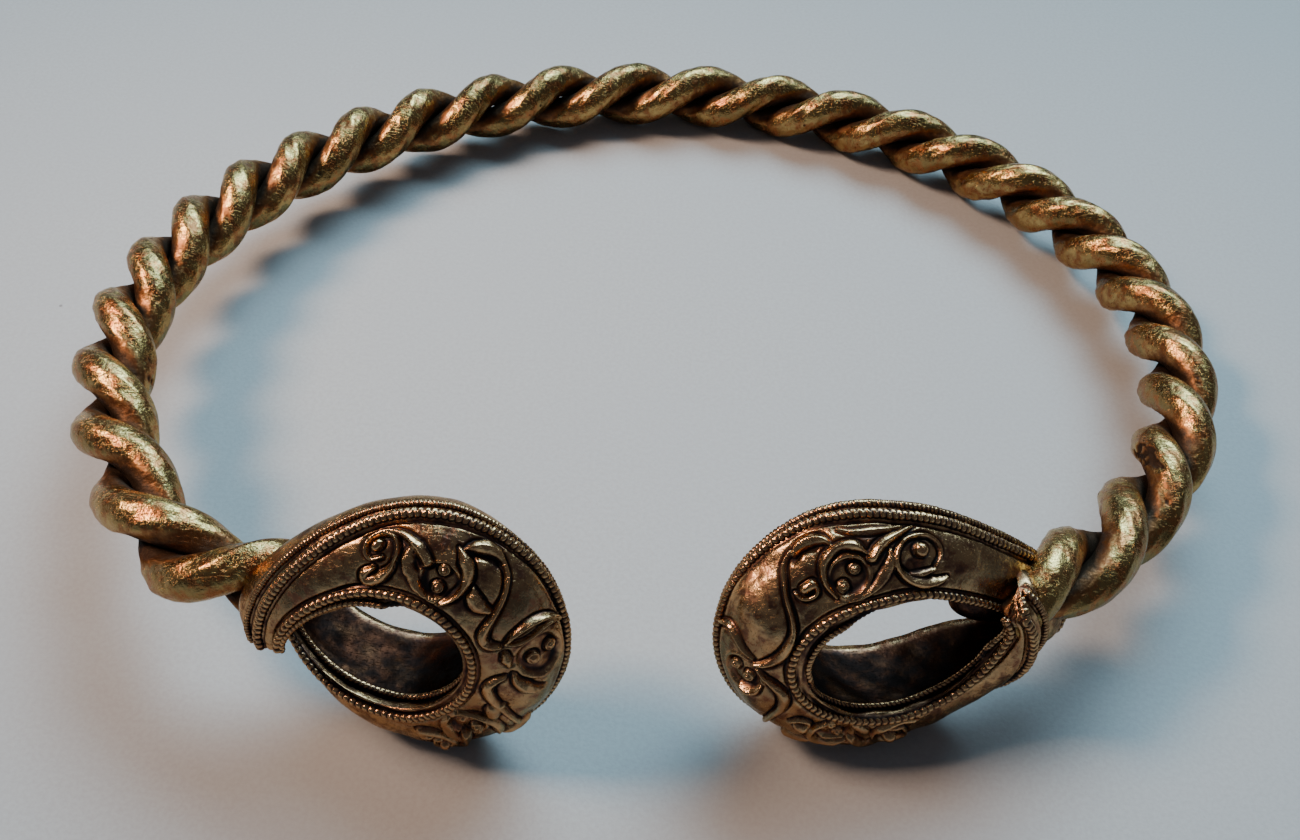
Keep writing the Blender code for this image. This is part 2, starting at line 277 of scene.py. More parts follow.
@dataclass(frozen=True)
class LoopShape:
    """Size and place of one loop terminal in the hoop's frame.

    In the loop's own frame t runs from the hoop towards the gap, b upwards and a outwards along the
    axis of the hole. The angle is 0 at the gap and positive over the upper arm.

    Attributes:
        side: Which terminal it is.
        centre: Middle of the hole in the hoop's frame.
        yaw: Turn of the loop about the upright, in degrees.
        pitch: How far the hole's axis looks up, in degrees.
        roll: How far the gap's end is raised, in degrees.
        hole_far: Length of the hole from its middle towards the gap.
        hole_near: Length of the hole from its middle towards the bars.
        hole_half_height: Half the height of the hole.
        hole_pinch: Share by which that height shrinks towards the bars.
        lean: How far the top of the hole leans towards the gap.
        thickness: Radial thickness of the arms.
        half_width: Half the width of the arms along the hole's axis.
        front: The tip of the arm that crosses in front.
        back: The tip of the arm that crosses behind.
        thickness_bias: Share by which the upper arm is thicker and the lower one thinner.
        width_bias: Share by which the upper arm is wider and the lower one narrower.
        ridge_forward: How far the outermost line lies in front of the middle.
        front_power: Power of the superellipse over the decorated face.
        back_power: Power of the superellipse over the back.
        wall_hollow: Depth of the inner wall's hollow, as a share of the half-width.
    """

    side: Side
    centre: tuple[float, float, float]
    yaw: float
    pitch: float
    roll: float
    hole_far: float
    hole_near: float
    hole_half_height: float
    hole_pinch: float
    lean: float
    thickness: float
    half_width: float
    front: ArmEnd
    back: ArmEnd
    thickness_bias: float = 0.0
    width_bias: float = 0.0
    ridge_forward: float = 0.3
    front_power: float = 2.0
    back_power: float = 2.2
    wall_hollow: float = 0.10

    def frame(self) -> tuple[np.ndarray, np.ndarray, np.ndarray, np.ndarray]:
        """The loop's own frame: level axes turned by the yaw, then the pitch, then the roll.

        Returns:
            The origin and the t, b and a directions, in the hoop's frame.
        """
        mirror = self.side.mirror
        yaw, pitch, roll = (math.radians(v) for v in (self.yaw, self.pitch, self.roll))
        along = np.array([mirror * math.cos(yaw), -math.sin(yaw), 0.0])
        out = np.array([-mirror * math.sin(yaw), -math.cos(yaw), 0.0])
        up = np.array([0.0, 0.0, 1.0])
        axis = out * math.cos(pitch) + up * math.sin(pitch)
        rise = up * math.cos(pitch) - out * math.sin(pitch)
        t = along * math.cos(roll) + rise * math.sin(roll)
        b = rise * math.cos(roll) - along * math.sin(roll)
        return np.array(self.centre), t, b, axis

    def arms(self, angle: np.ndarray) -> dict[str, np.ndarray]:
        """Outline of the hole and the section's sizes, each easing from the arm's own to its tip's.

        The hole is half an ellipse towards the gap and half another towards the bars.

        Args:
            angle: Angles round the loop, in radians.

        Returns:
            For each angle the place in the hole's outline and the sizes of the section, by name.
        """
        front = (angle > 0) == (self.side is Side.LEFT)
        turned = np.degrees(np.abs(angle))

        def pick(read: Callable[[ArmEnd], float]) -> np.ndarray:
            """A value of whichever arm each angle is on."""
            return np.where(front, read(self.front), read(self.back))

        def tapered(whole: float, read: Callable[[ArmEnd], float], bias: float) -> np.ndarray:
            """A size that shrinks to the tip's and differs between the upper and the lower arm."""
            full = 1.0 - smooth(turned, pick(lambda end: end.taper[0]), pick(lambda end: end.taper[1]))
            return mixed(pick(read), whole, full) * (1.0 + bias * np.sin(angle))

        def grown(read: Callable[[ArmEnd], tuple[float, float, float]]) -> np.ndarray:
            """A size that grows from nothing between two angles."""
            amount, begins, ends = (pick(lambda end, k=k: read(end)[k]) for k in range(3))
            return amount * smooth(turned, begins, ends)

        reach = np.where(np.cos(angle) > 0, self.hole_far, self.hole_near)
        pinch = 1.0 - self.hole_pinch * (1.0 - np.cos(angle)) / 2.0
        inward, flare = grown(lambda end: end.inward), grown(lambda end: end.flare)
        return {
            "t": reach * np.cos(angle) + self.lean * np.sin(angle)
            + pick(lambda end: end.shift) * smooth(turned, *TIP_SHIFTS),
            "b": self.hole_half_height * np.sin(angle) * pinch - inward * np.sign(angle),
            "a": pick(lambda end: end.offset) * smooth(turned, *TIP_STANDS_OFF),
            "thickness": inward
            + tapered(self.thickness, lambda end: end.thickness, self.thickness_bias),
            "width_front": tapered(self.half_width, lambda end: end.widths[0], self.width_bias),
            "width_back": flare
            + tapered(self.half_width, lambda end: end.widths[1], self.width_bias),
            "turn": np.radians(pick(lambda end: end.turn))
            * smooth(turned, pick(lambda end: end.turning[0]), pick(lambda end: end.turning[1])),
            "stiffness": pick(lambda end: end.stiffness),
        }

    def limits(self) -> tuple[float, float]:
        """Where the arms end.

        Returns:
            Angles of the lower and the upper arm's tip, in radians.
        """
        upper, lower = self.front, self.back
        if self.side is Side.RIGHT:
            upper, lower = lower, upper
        return -math.radians(lower.ends_at), math.radians(upper.ends_at)

    def section(self, round_: np.ndarray, arms: dict[str, np.ndarray]) -> tuple[np.ndarray, np.ndarray]:
        """The section at every angle, at positions 0 to 1 round it.

        From 0 at the front edge of the hole the outline rises over the decorated face to the ridge,
        comes down the plain back to the wall's start and returns along the slightly hollow inner wall.
        The two outer quarters are superellipses of different powers and the hollow is a parabola.

        Args:
            round_: Positions round the section.
            arms: The section's sizes at every angle.

        Returns:
            How far each point lies in front of the middle, and how far outwards.
        """
        front, back = arms["width_front"][:, None], arms["width_back"][:, None]
        sweep = (np.clip(round_ / WALL_FROM, 0.0, 1.0) * math.pi)[None, :]
        in_front = sweep <= math.pi / 2
        power = np.where(in_front, 2.0 / self.front_power, 2.0 / self.back_power)
        rise = np.abs(np.sin(sweep)) ** power
        side = np.abs(np.cos(sweep)) ** power
        ridge = self.ridge_forward * front / self.half_width
        across = np.where(in_front, ridge + (front - ridge) * side, ridge - (back + ridge) * side)
        wall = np.clip((round_ - WALL_FROM) / (1.0 - WALL_FROM), 0.0, 1.0)[None, :]
        hollow = self.wall_hollow * (front + back) / 2 * (1.0 - (2.0 * wall - 1.0) ** 2)
        on_wall = (round_ > WALL_FROM)[None, :]
        outward = np.where(on_wall, hollow, arms["thickness"][:, None] * rise)
        return np.where(on_wall, mixed(-back, front, wall), across), outward

    def surface(self, angle: np.ndarray, round_: np.ndarray) -> np.ndarray:
        """The loop: its section carried round the hole's outline, square to it.

        Near each tip the section shrinks to its middle as a quarter circle, and it turns outwards by
        the arm's own turn, less at the back where the arm is stiff.

        Args:
            angle: Angles round the loop, in radians.
            round_: Positions round the section.

        Returns:
            Array (angles, positions, 3) in the hoop's frame.
        """
        arms = self.arms(angle)
        after, before = self.arms(angle + ANGLE_STEP), self.arms(angle - ANGLE_STEP)
        dt, db = after["t"] - before["t"], after["b"] - before["b"]
        length = np.hypot(dt, db)
        out_t, out_b = (db / length)[:, None], (-dt / length)[:, None]
        front, back = arms["width_front"][:, None], arms["width_back"][:, None]
        across, outward = self.section(round_, arms)
        start, end = self.limits()
        nearness = np.clip(np.minimum(angle - start, end - angle) / TIP_ROUNDING, 0.0, 1.0)
        roundness = np.sqrt(np.clip(1.0 - (1.0 - nearness) ** 2, 0.0, 1.0))[:, None]
        outward = mixed(TIP_MIDDLE * arms["thickness"][:, None], outward, roundness)
        across = mixed((front - back) / 2, across, roundness)
        rearward = np.clip((front - across) / (front + back), 0.0, 1.0)
        turn = arms["turn"][:, None] * (1.0 - arms["stiffness"][:, None] * rearward)
        turned_out = outward * np.cos(turn) - across * np.sin(turn)
        turned_across = across * np.cos(turn) + outward * np.sin(turn)
        origin, t_dir, b_dir, a_dir = self.frame()
        in_t = arms["t"][:, None] + out_t * turned_out
        in_b = arms["b"][:, None] + out_b * turned_out
        in_a = arms["a"][:, None] + turned_across
        return origin + in_t[..., None] * t_dir + in_b[..., None] * b_dir + in_a[..., None] * a_dir


LOOPS = {
    Side.LEFT: LoopShape(
        Side.LEFT, centre=(-29.27, -69.16, 0.13), yaw=9.24, pitch=5.25, roll=-2.12,
        hole_far=9.0, hole_near=18.8, hole_half_height=9.7, hole_pinch=-0.13, lean=1.32,
        thickness=11.7, half_width=7.6,
        front=ArmEnd(
            ends_at=204, taper=(77.8, 178.4), thickness=1.67, widths=(6.6, 4.0), offset=5.7,
            shift=-0.94, turn=56.2,
        ),
        back=ArmEnd(
            ends_at=185, taper=(66.8, 162.9), thickness=1.95, widths=(5.9, 5.9), offset=-5.7,
            shift=0.0, turn=2.2,
        ),
        thickness_bias=-0.06, width_bias=0.03, ridge_forward=0.94, front_power=2.03, back_power=2.07,
    ),
    Side.RIGHT: LoopShape(
        Side.RIGHT, centre=(35.48, -62.46, -0.32), yaw=12.2, pitch=11.36, roll=-11.48,
        hole_far=13.78, hole_near=15.1, hole_half_height=11.04, hole_pinch=0.22, lean=0.86,
        thickness=10.42, half_width=7.64,
        front=ArmEnd(
            ends_at=202, taper=(74.0, 187.0), thickness=3.2, widths=(1.4, 5.0), offset=5.7,
            shift=-0.1, turn=70.0, turning=(102.0, 175.0), stiffness=0.6, flare=(2.5, 92.0, 150.0),
        ),
        back=ArmEnd(
            ends_at=205, taper=(64.3, 171.8), thickness=3.0, widths=(5.6, 5.6), offset=-3.0,
            shift=-3.0, turn=0.0, inward=(4.5, 95.0, 175.0),
        ),
        thickness_bias=0.10, width_bias=0.04, ridge_forward=0.6, front_power=2.04, back_power=2.15,
    ),
}


COLLAR_SOCKET_SHARE = 0.3
"""Share of a collar's rings that lie round its socket."""
COLLAR_DOME = 1.5
"""Angle of its dome in radians, just short of a quarter turn."""


@dataclass(frozen=True)
class Collar:
    """The lump inside the crossing of a loop's arms, into which the bars are cast.

    Attributes:
        reach: Length from the stub's end towards the gap, in millimetres.
        radii: Half-sizes across the loop's plane and along its height.
        behind: How far its middle lies behind the loop's plane.
        below: How far its middle lies below the loop's own axis.
        socket: Length of the straight part round the bars.
        mouth: Width of that part's open end, as a share of the lump's.
        steps: Samples along it and round it.
    """

    reach: float
    radii: tuple[float, float]
    behind: float
    below: float
    socket: float = 2.5
    mouth: float = 0.75
    steps: tuple[int, int] = (40, 48)

    def build(self, loop: LoopShape) -> np.ndarray:
        """Half an ellipsoid, pointing towards the gap, on a short socket that narrows evenly.

        Args:
            loop: The loop that it lies in.

        Returns:
            Array (rings, angles, 3) in the hoop's frame.
        """
        origin, t_dir, b_dir, a_dir = loop.frame()
        sweep = np.linspace(0.0, 1.0, self.steps[0])
        in_socket = sweep < COLLAR_SOCKET_SHARE
        outwards = sweep / COLLAR_SOCKET_SHARE
        dome = (sweep - COLLAR_SOCKET_SHARE) / (1.0 - COLLAR_SOCKET_SHARE) * COLLAR_DOME
        along = np.where(in_socket, -self.socket * (1 - outwards), self.reach * np.sin(dome))
        wide = np.where(in_socket, mixed(self.mouth, 1.0, outwards), np.cos(dome))
        around = np.linspace(0.0, FULL_TURN, self.steps[1], endpoint=False)
        middle = origin + (STUB_END + along)[:, None] * t_dir - self.behind * a_dir - self.below * b_dir
        to_side, to_top = self.radii[0] * a_dir[None], self.radii[1] * b_dir[None]
        return tube(middle, to_side, to_top, wide[:, None], around)


COLLARS = {
    Side.LEFT: Collar(reach=6.5, radii=(4.6, 4.4), behind=1.0, below=0.8),
    Side.RIGHT: Collar(reach=11.5, radii=(4.6, 5.0), behind=3.0, below=1.7),
}


# --------------------------------------------------------------------------------------------------
# The twisted bars' own shape
# --------------------------------------------------------------------------------------------------


def hoop_plan(angle: np.ndarray) -> np.ndarray:
    """The oval centre line: mean radius, plus cosine and sine of twice and three times the angle.

    Args:
        angle: Angles round the hoop, in radians.

    Returns:
        Points on the hoop's plane.
    """
    radius = (
        HOOP_RADIUS
        + HOOP_OVAL * np.cos(2 * angle)
        + HOOP_SKEW * np.sin(2 * angle)
        + HOOP_THREE_LOBE[0] * np.cos(3 * angle)
        + HOOP_THREE_LOBE[1] * np.sin(3 * angle)
    )
    return np.stack([radius * np.cos(angle), radius * np.sin(angle), 0.0 * angle], axis=-1)


def hoop_axis(distance: np.ndarray) -> np.ndarray:
    """Centre line of the rope: the plan, easing near each end onto its terminal.

    An end that is turned in runs along the loop's own axis. One that is not is the plan's own line,
    moved to the terminal.

    Args:
        distance: Lengths along the hoop from its back.

    Returns:
        Points in the hoop's frame.
    """
    angles = np.linspace(math.radians(-80), math.radians(260), 20001)
    lengths = lengths_along(hoop_plan(angles))
    lengths -= np.interp(BACK_ANGLE, angles, lengths)
    points = hoop_plan(np.interp(distance, lengths, angles))
    for side, loop in LOOPS.items():
        end = ROPE_ENDS[side]
        centre, t_dir, _, _ = loop.frame()
        joint = centre + t_dir * STUB_END
        reach = abs(end.distance)
        turned = joint + (np.abs(distance) - reach)[:, None] * t_dir
        moved = points + joint - hoop_plan(np.interp([end.distance], lengths, angles))
        share = smooth(distance * side.mirror, reach - STRAIGHTENING_LENGTH, reach)
        points = mixed(points, mixed(moved, turned, end.turned_in), share[:, None])
    return points


@dataclass(frozen=True)
class HammerWork:
    """The flat facets that a hammer left on a bar.

    Attributes:
        count: Number of facets along the whole bar.
        depth: Range of how far a facet cuts below the round surface, in millimetres.
        length: Range of a facet's half-length along the bar.
        seed: Start of the random sequence, one more for the second bar.
        reach: Half the angle that a facet can take up, in radians.
        blunting: Width of the worn edges between facets.
    """

    count: int
    depth: tuple[float, float]
    length: tuple[float, float]
    seed: int
    reach: float = 0.9
    blunting: float = 0.04

    def cut(
        self, radius: np.ndarray, distance: np.ndarray, around: np.ndarray, bar: "Bar"
    ) -> np.ndarray:
        """Cut the facets.

        Each facet is a plane: its radius is (plain radius minus depth) over the cosine of the angle
        from its middle, plus its depth times the square of the share of its half-length from there.
        The surface is a soft minimum of what there was and all facets.

        Args:
            radius: The bar's radius so far, at each distance and angle.
            distance: Lengths along the hoop from its back.
            around: Angles round the bar from its outermost line.
            bar: The bar that is hammered.

        Returns:
            The new radius.
        """
        rng = np.random.default_rng(self.seed + bar.which)
        centres = rng.uniform(distance[0], distance[-1], self.count)
        angles = rng.uniform(-math.pi, math.pi, self.count)
        depths = rng.uniform(*self.depth, self.count)
        halves = rng.uniform(*self.length, self.count)
        radius = radius.copy()
        for centre, angle, depth, half in zip(centres, angles, depths, halves):
            rows = np.abs(distance - centre) < half
            if not rows.any():
                continue
            along = depth * ((distance[rows] - centre) / half) ** 2
            turn = wrapped(around - angle)
            in_reach = np.abs(turn) < self.reach
            flat = (bar.radius - depth) / np.cos(np.where(in_reach, turn, 0.0))
            facet = np.where(in_reach[None, :], flat[None, :] + along[:, None], bar.radius)
            radius[rows] = soft_minimum(radius[rows], facet, self.blunting)
        return radius


@dataclass(frozen=True)
class Chip:
    """A rough spot where bits of the surface have come away.

    Attributes:
        which: The bar that it is on.
        distance: Where it lies along the hoop, in millimetres from the back.
        around: Where it lies round the bar, in degrees from its outermost line.
        half_length: Half its size along the bar.
        half_angle: Half its size round the bar, in degrees.
        pits: Number of small pits that it is made of.
        sizes: Range of the pits' radii in millimetres.
        depth: Depth of the deepest pit in millimetres.
    """

    which: int
    distance: float
    around: float
    half_length: float
    half_angle: float
    pits: int
    sizes: tuple[float, float]
    depth: float

    def hollow(self, distance: np.ndarray, around: np.ndarray, radius: float) -> np.ndarray:
        """Depth of the chip: the deepest of its pits, each steep-sided and round.

        A pit's depth falls off as the exponential of minus the fourth power of the distance from its
        middle over its radius. The pits lie anywhere in the chip's oval, a single one in its middle.

        Args:
            distance: Lengths along the hoop from its back.
            around: Angles round the bar from its outermost line.
            radius: The bar's radius.

        Returns:
            The depth at each distance and angle.
        """
        rng = np.random.default_rng(self.pits + int(abs(self.distance)))
        spin, reach = rng.uniform(0.0, FULL_TURN, self.pits), np.sqrt(rng.uniform(0.0, 1.0, self.pits))
        if self.pits == 1:
            reach = reach * 0.0
        along = self.distance + self.half_length * reach * np.cos(spin)
        turned = np.radians(self.around + self.half_angle * reach * np.sin(spin))
        sizes = rng.uniform(*self.sizes, self.pits)
        depths = self.depth * rng.uniform(0.45, 1.0, self.pits)
        deepest = np.zeros((distance.size, around.size))
        for place, angle, size, depth in zip(along, turned, sizes, depths):
            rows = np.abs(distance - place) < 2.0 * size
            turn = wrapped(around - angle)
            far = np.hypot((distance[rows] - place)[:, None], turn[None, :] * radius) / size
            deepest[rows] = np.maximum(deepest[rows], depth * np.exp(-(far**4)))
        return deepest


CHIPS = (
    Chip(
        which=1, distance=-160.5, around=-66.0, half_length=3.8, half_angle=32.0, pits=42,
        sizes=(0.30, 0.62), depth=0.50,
    ),
    Chip(
        which=0, distance=149.0, around=41.0, half_length=1.6, half_angle=22.0, pits=4,
        sizes=(0.28, 0.42), depth=0.34,
    ),
    Chip(
        which=1, distance=-138.5, around=-82.0, half_length=1.0, half_angle=12.0, pits=3,
        sizes=(0.26, 0.40), depth=0.32,
    ),
    Chip(
        which=1, distance=-168.6, around=-74.0, half_length=0.1, half_angle=1.0, pits=1,
        sizes=(0.42, 0.45), depth=0.40,
    ),
    Chip(
        which=0, distance=-91.0, around=0.0, half_length=1.8, half_angle=26.0, pits=4,
        sizes=(0.26, 0.38), depth=0.28,
    ),
)


def soft_minimum(first: np.ndarray, second: np.ndarray, width: float) -> np.ndarray:
    """The smaller of two arrays, with a rounded corner where they cross.

    Args:
        first: One array.
        second: The other.
        width: Difference between the two within which the corner is rounded.

    Returns:
        The smaller value, less a parabola's height at the corner.
    """
    blend = np.clip(0.5 + 0.5 * (second - first) / width, 0.0, 1.0)
    return second * (1 - blend) + first * blend - width * blend * (1 - blend)


HAMMERING = (
    HammerWork(count=170, depth=(0.10, 0.34), length=(12.0, 34.0), seed=21),
    HammerWork(count=620, depth=(0.05, 0.26), length=(1.8, 6.0), seed=11),
)
"""Long even strokes, then short ones."""


@dataclass(frozen=True)
class Bar:
    """One of the two twisted bars.

    Attributes:
        node: Name of the bar.
        which: 0 or 1, for the two sides of the twist.
        radius: The bar's own radius in millimetres.
        hammer: The sets of facets on it.
        steps: Samples along the bar and round it.
        shadowed: Range over which grime and painted shade set in towards the other bar, from 0 outside
            to 1 there.
        dirty_depth: Depth of a chip that is full of grime.
    """

    node: str
    which: int
    radius: float = BAR_RADIUS
    hammer: Sequence[HammerWork] = HAMMERING
    steps: tuple[int, int] = (1500, 60)
    shadowed: tuple[float, float] = (0.14, 0.98)
    dirty_depth: float = 0.3

    def centre(self, distance: np.ndarray) -> np.ndarray:
        """Centre line: the hoop's axis plus a step sideways that turns with the twist.

        Its angle is pi times the distance over the length of half a turn, less a slow sine for the
        unevenness and whatever the twist falls behind near the ends.

        Args:
            distance: Lengths along the hoop from its back.

        Returns:
            Points in the hoop's frame.
        """
        tangent = unit(hoop_axis(distance + 0.5) - hoop_axis(distance - 0.5))
        outward = unit(np.cross(tangent, [0.0, 0.0, 1.0]))
        upward = np.cross(outward, tangent)
        wave = np.sin(FULL_TURN * distance / TWIST_UNEVENNESS_LENGTH)
        phase = TWIST_AT_BACK + self.which * math.pi
        phase = phase + math.pi * distance / HALF_TURN_LENGTH - TWIST_UNEVENNESS * wave
        for side, end in ROPE_ENDS.items():
            late = smooth(distance * side.mirror, LOOSENING_FROM, abs(end.distance))
            phase = phase - side.mirror * end.loosening * late
        step = np.cos(phase)[:, None] * outward + np.sin(phase)[:, None] * upward
        return hoop_axis(distance) + (ROPE_RADIUS - self.radius) * step

    def surface(self) -> tuple[np.ndarray, dict[str, np.ndarray]]:
        """The bar: a hammered and chipped round section carried along its centre line.

        The section is flat towards the other bar, where its radius is that of a straight line.

        Returns:
            Array (rings, angles, 3) in the hoop's frame, and the grime and painted shade at each point.
        """
        left, right = ROPE_ENDS[Side.LEFT], ROPE_ENDS[Side.RIGHT]
        distance = np.linspace(right.distance - right.tuck, left.distance + left.tuck, self.steps[0])
        around = np.linspace(-math.pi, math.pi, self.steps[1], endpoint=False)
        centre = self.centre(distance)
        tangent = unit(self.centre(distance + 0.3) - self.centre(distance - 0.3))
        first = across_tangent(centre - hoop_axis(distance), tangent)
        radius = np.full((distance.size, around.size), self.radius)
        for work in self.hammer:
            radius = work.cut(radius, distance, around, self)
        towards = np.maximum(-np.cos(around), 0.05)
        radius = np.minimum(radius, (ROPE_RADIUS - self.radius - BAR_CLEARANCE) / towards)
        hollow = np.zeros(radius.shape)
        for chip in CHIPS:
            if chip.which == self.which:
                hollow = np.maximum(hollow, chip.hollow(distance, around, self.radius))
        points = tube(centre, first, np.cross(tangent, first), radius - hollow, around)
        # Painted shade: the side towards the other bar is darkened, partly grime in the groove and
        # partly the shade that falls between the bars.
        shadow = smooth(0.5 - 0.5 * np.cos(around), *self.shadowed)[None, :]
        return points, {"crevice": np.maximum(shadow, np.clip(hollow / self.dirty_depth, 0.0, 1.0))}

    def dress(self, material: bpy.types.Material) -> None:
        """Put the bar in the scene in place of its solid.

        Args:
            material: What it is made of.
        """
        name = self.node + "_surface"
        piece = add_piece(name, grid_mesh(name, *self.surface()), material)
        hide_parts(self.node)
        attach(piece, "root")


# --------------------------------------------------------------------------------------------------
# Ornament
# --------------------------------------------------------------------------------------------------

Place = tuple[float, float]
"""A place on a loop's band: degrees round the loop, and hundredths of the way round its section."""


GROUND_DEPTH = 0.38
"""How far the carved ground lies below the loop's plain outline."""
GROUND_ALONG = ((-98.0, -86.0), (106.0, 124.0))
GROUND_ACROSS = ((0.05, 0.10), (0.30, 0.35))
"""Where the ground begins and ends, in degrees round the loop and in shares of the section."""
ORNAMENTED = (0.9, 0.5)
"""Shares of the section between which anything is carved, over the front edge of the hole."""
SLACK_WAVES = 7
SLACK_HEIGHT = 0.022
WALL_SLACK_HEIGHT = 0.030
"""Uneven swells of a casting: their number, their height, and what the inner walls have on top."""
WALL_SPAN = ((0.70, 0.74), (0.95, 0.99))
"""Shares of the section over which the inner wall's look begins and ends."""
WALL_DIRT_AND_SHADE = 0.66
HOLLOW_DIRT_AND_SHADE = 0.9
FULL_SHADE = 0.30
# Strengths of grime and painted shade on the inner walls and in hollows, and the depth below the
# surroundings at which a hollow is full of them.
"""Depth below the surroundings at which a hollow is full of dirt."""
SURROUNDINGS = 22
"""How many times a height is averaged with its neighbours' to find its surroundings."""
BURIED = (0.0, 0.12)
"""Raised heights over which a neighbour's groove disappears."""

GAP_TO_GROOVE = 0.12
GROOVE_WIDTH = 0.24
"""The groove beside a raised edge: how far off its middle lies, and its width."""
BOSS_RING = (0.58, 0.13)
BOSS_RING_DEPTH = 0.34
"""The ring cut into a boss: its place and width as shares of the radius."""
BOSS_DITCH_WIDTH = 0.2
BOSS_DITCH_DEPTH = 0.3
SINKING_SIDES = (0.78, 1.0)
SINKING_RIM = (1.07, 0.09)
"""Shares of a sinking's radii: where its sides rise, and the place and width of its rim."""
UNEVEN_BEADS = (0.93, 1.05)
"""Range of the sizes of a milled row's beads."""
BED_DEPTH = 0.42
BED_WIDTH = 0.3
"""Depth and width of the grooves beside a milled row."""


def flowing(places: Sequence[Place], per_span: int = 8) -> np.ndarray:
    """A smooth curve through the given places.

    Each span is a cubic through its two ends whose slopes there are half the step between the
    neighbouring places, so that leaves and stems bend without corners.

    Args:
        places: The places in order.
        per_span: Points on each span.

    Returns:
        The curve's places.
    """
    knots = np.asarray(places, dtype=float)
    padded = np.concatenate([2 * knots[:1] - knots[1:2], knots, 2 * knots[-1:] - knots[-2:-1]])
    t = np.linspace(0.0, 1.0, per_span, endpoint=False)[None, :, None]
    before, start, end, after = (padded[k : len(padded) - 3 + k, None, :] for k in range(4))
    slope_in, slope_out = (end - before) / 2, (after - start) / 2
    curve = (
        start * (2 * t**3 - 3 * t**2 + 1)
        + slope_in * (t**3 - 2 * t**2 + t)
        + end * (3 * t**2 - 2 * t**3)
        + slope_out * (t**3 - t**2)
    )
    return np.concatenate([curve.reshape(-1, 2), knots[-1:]])


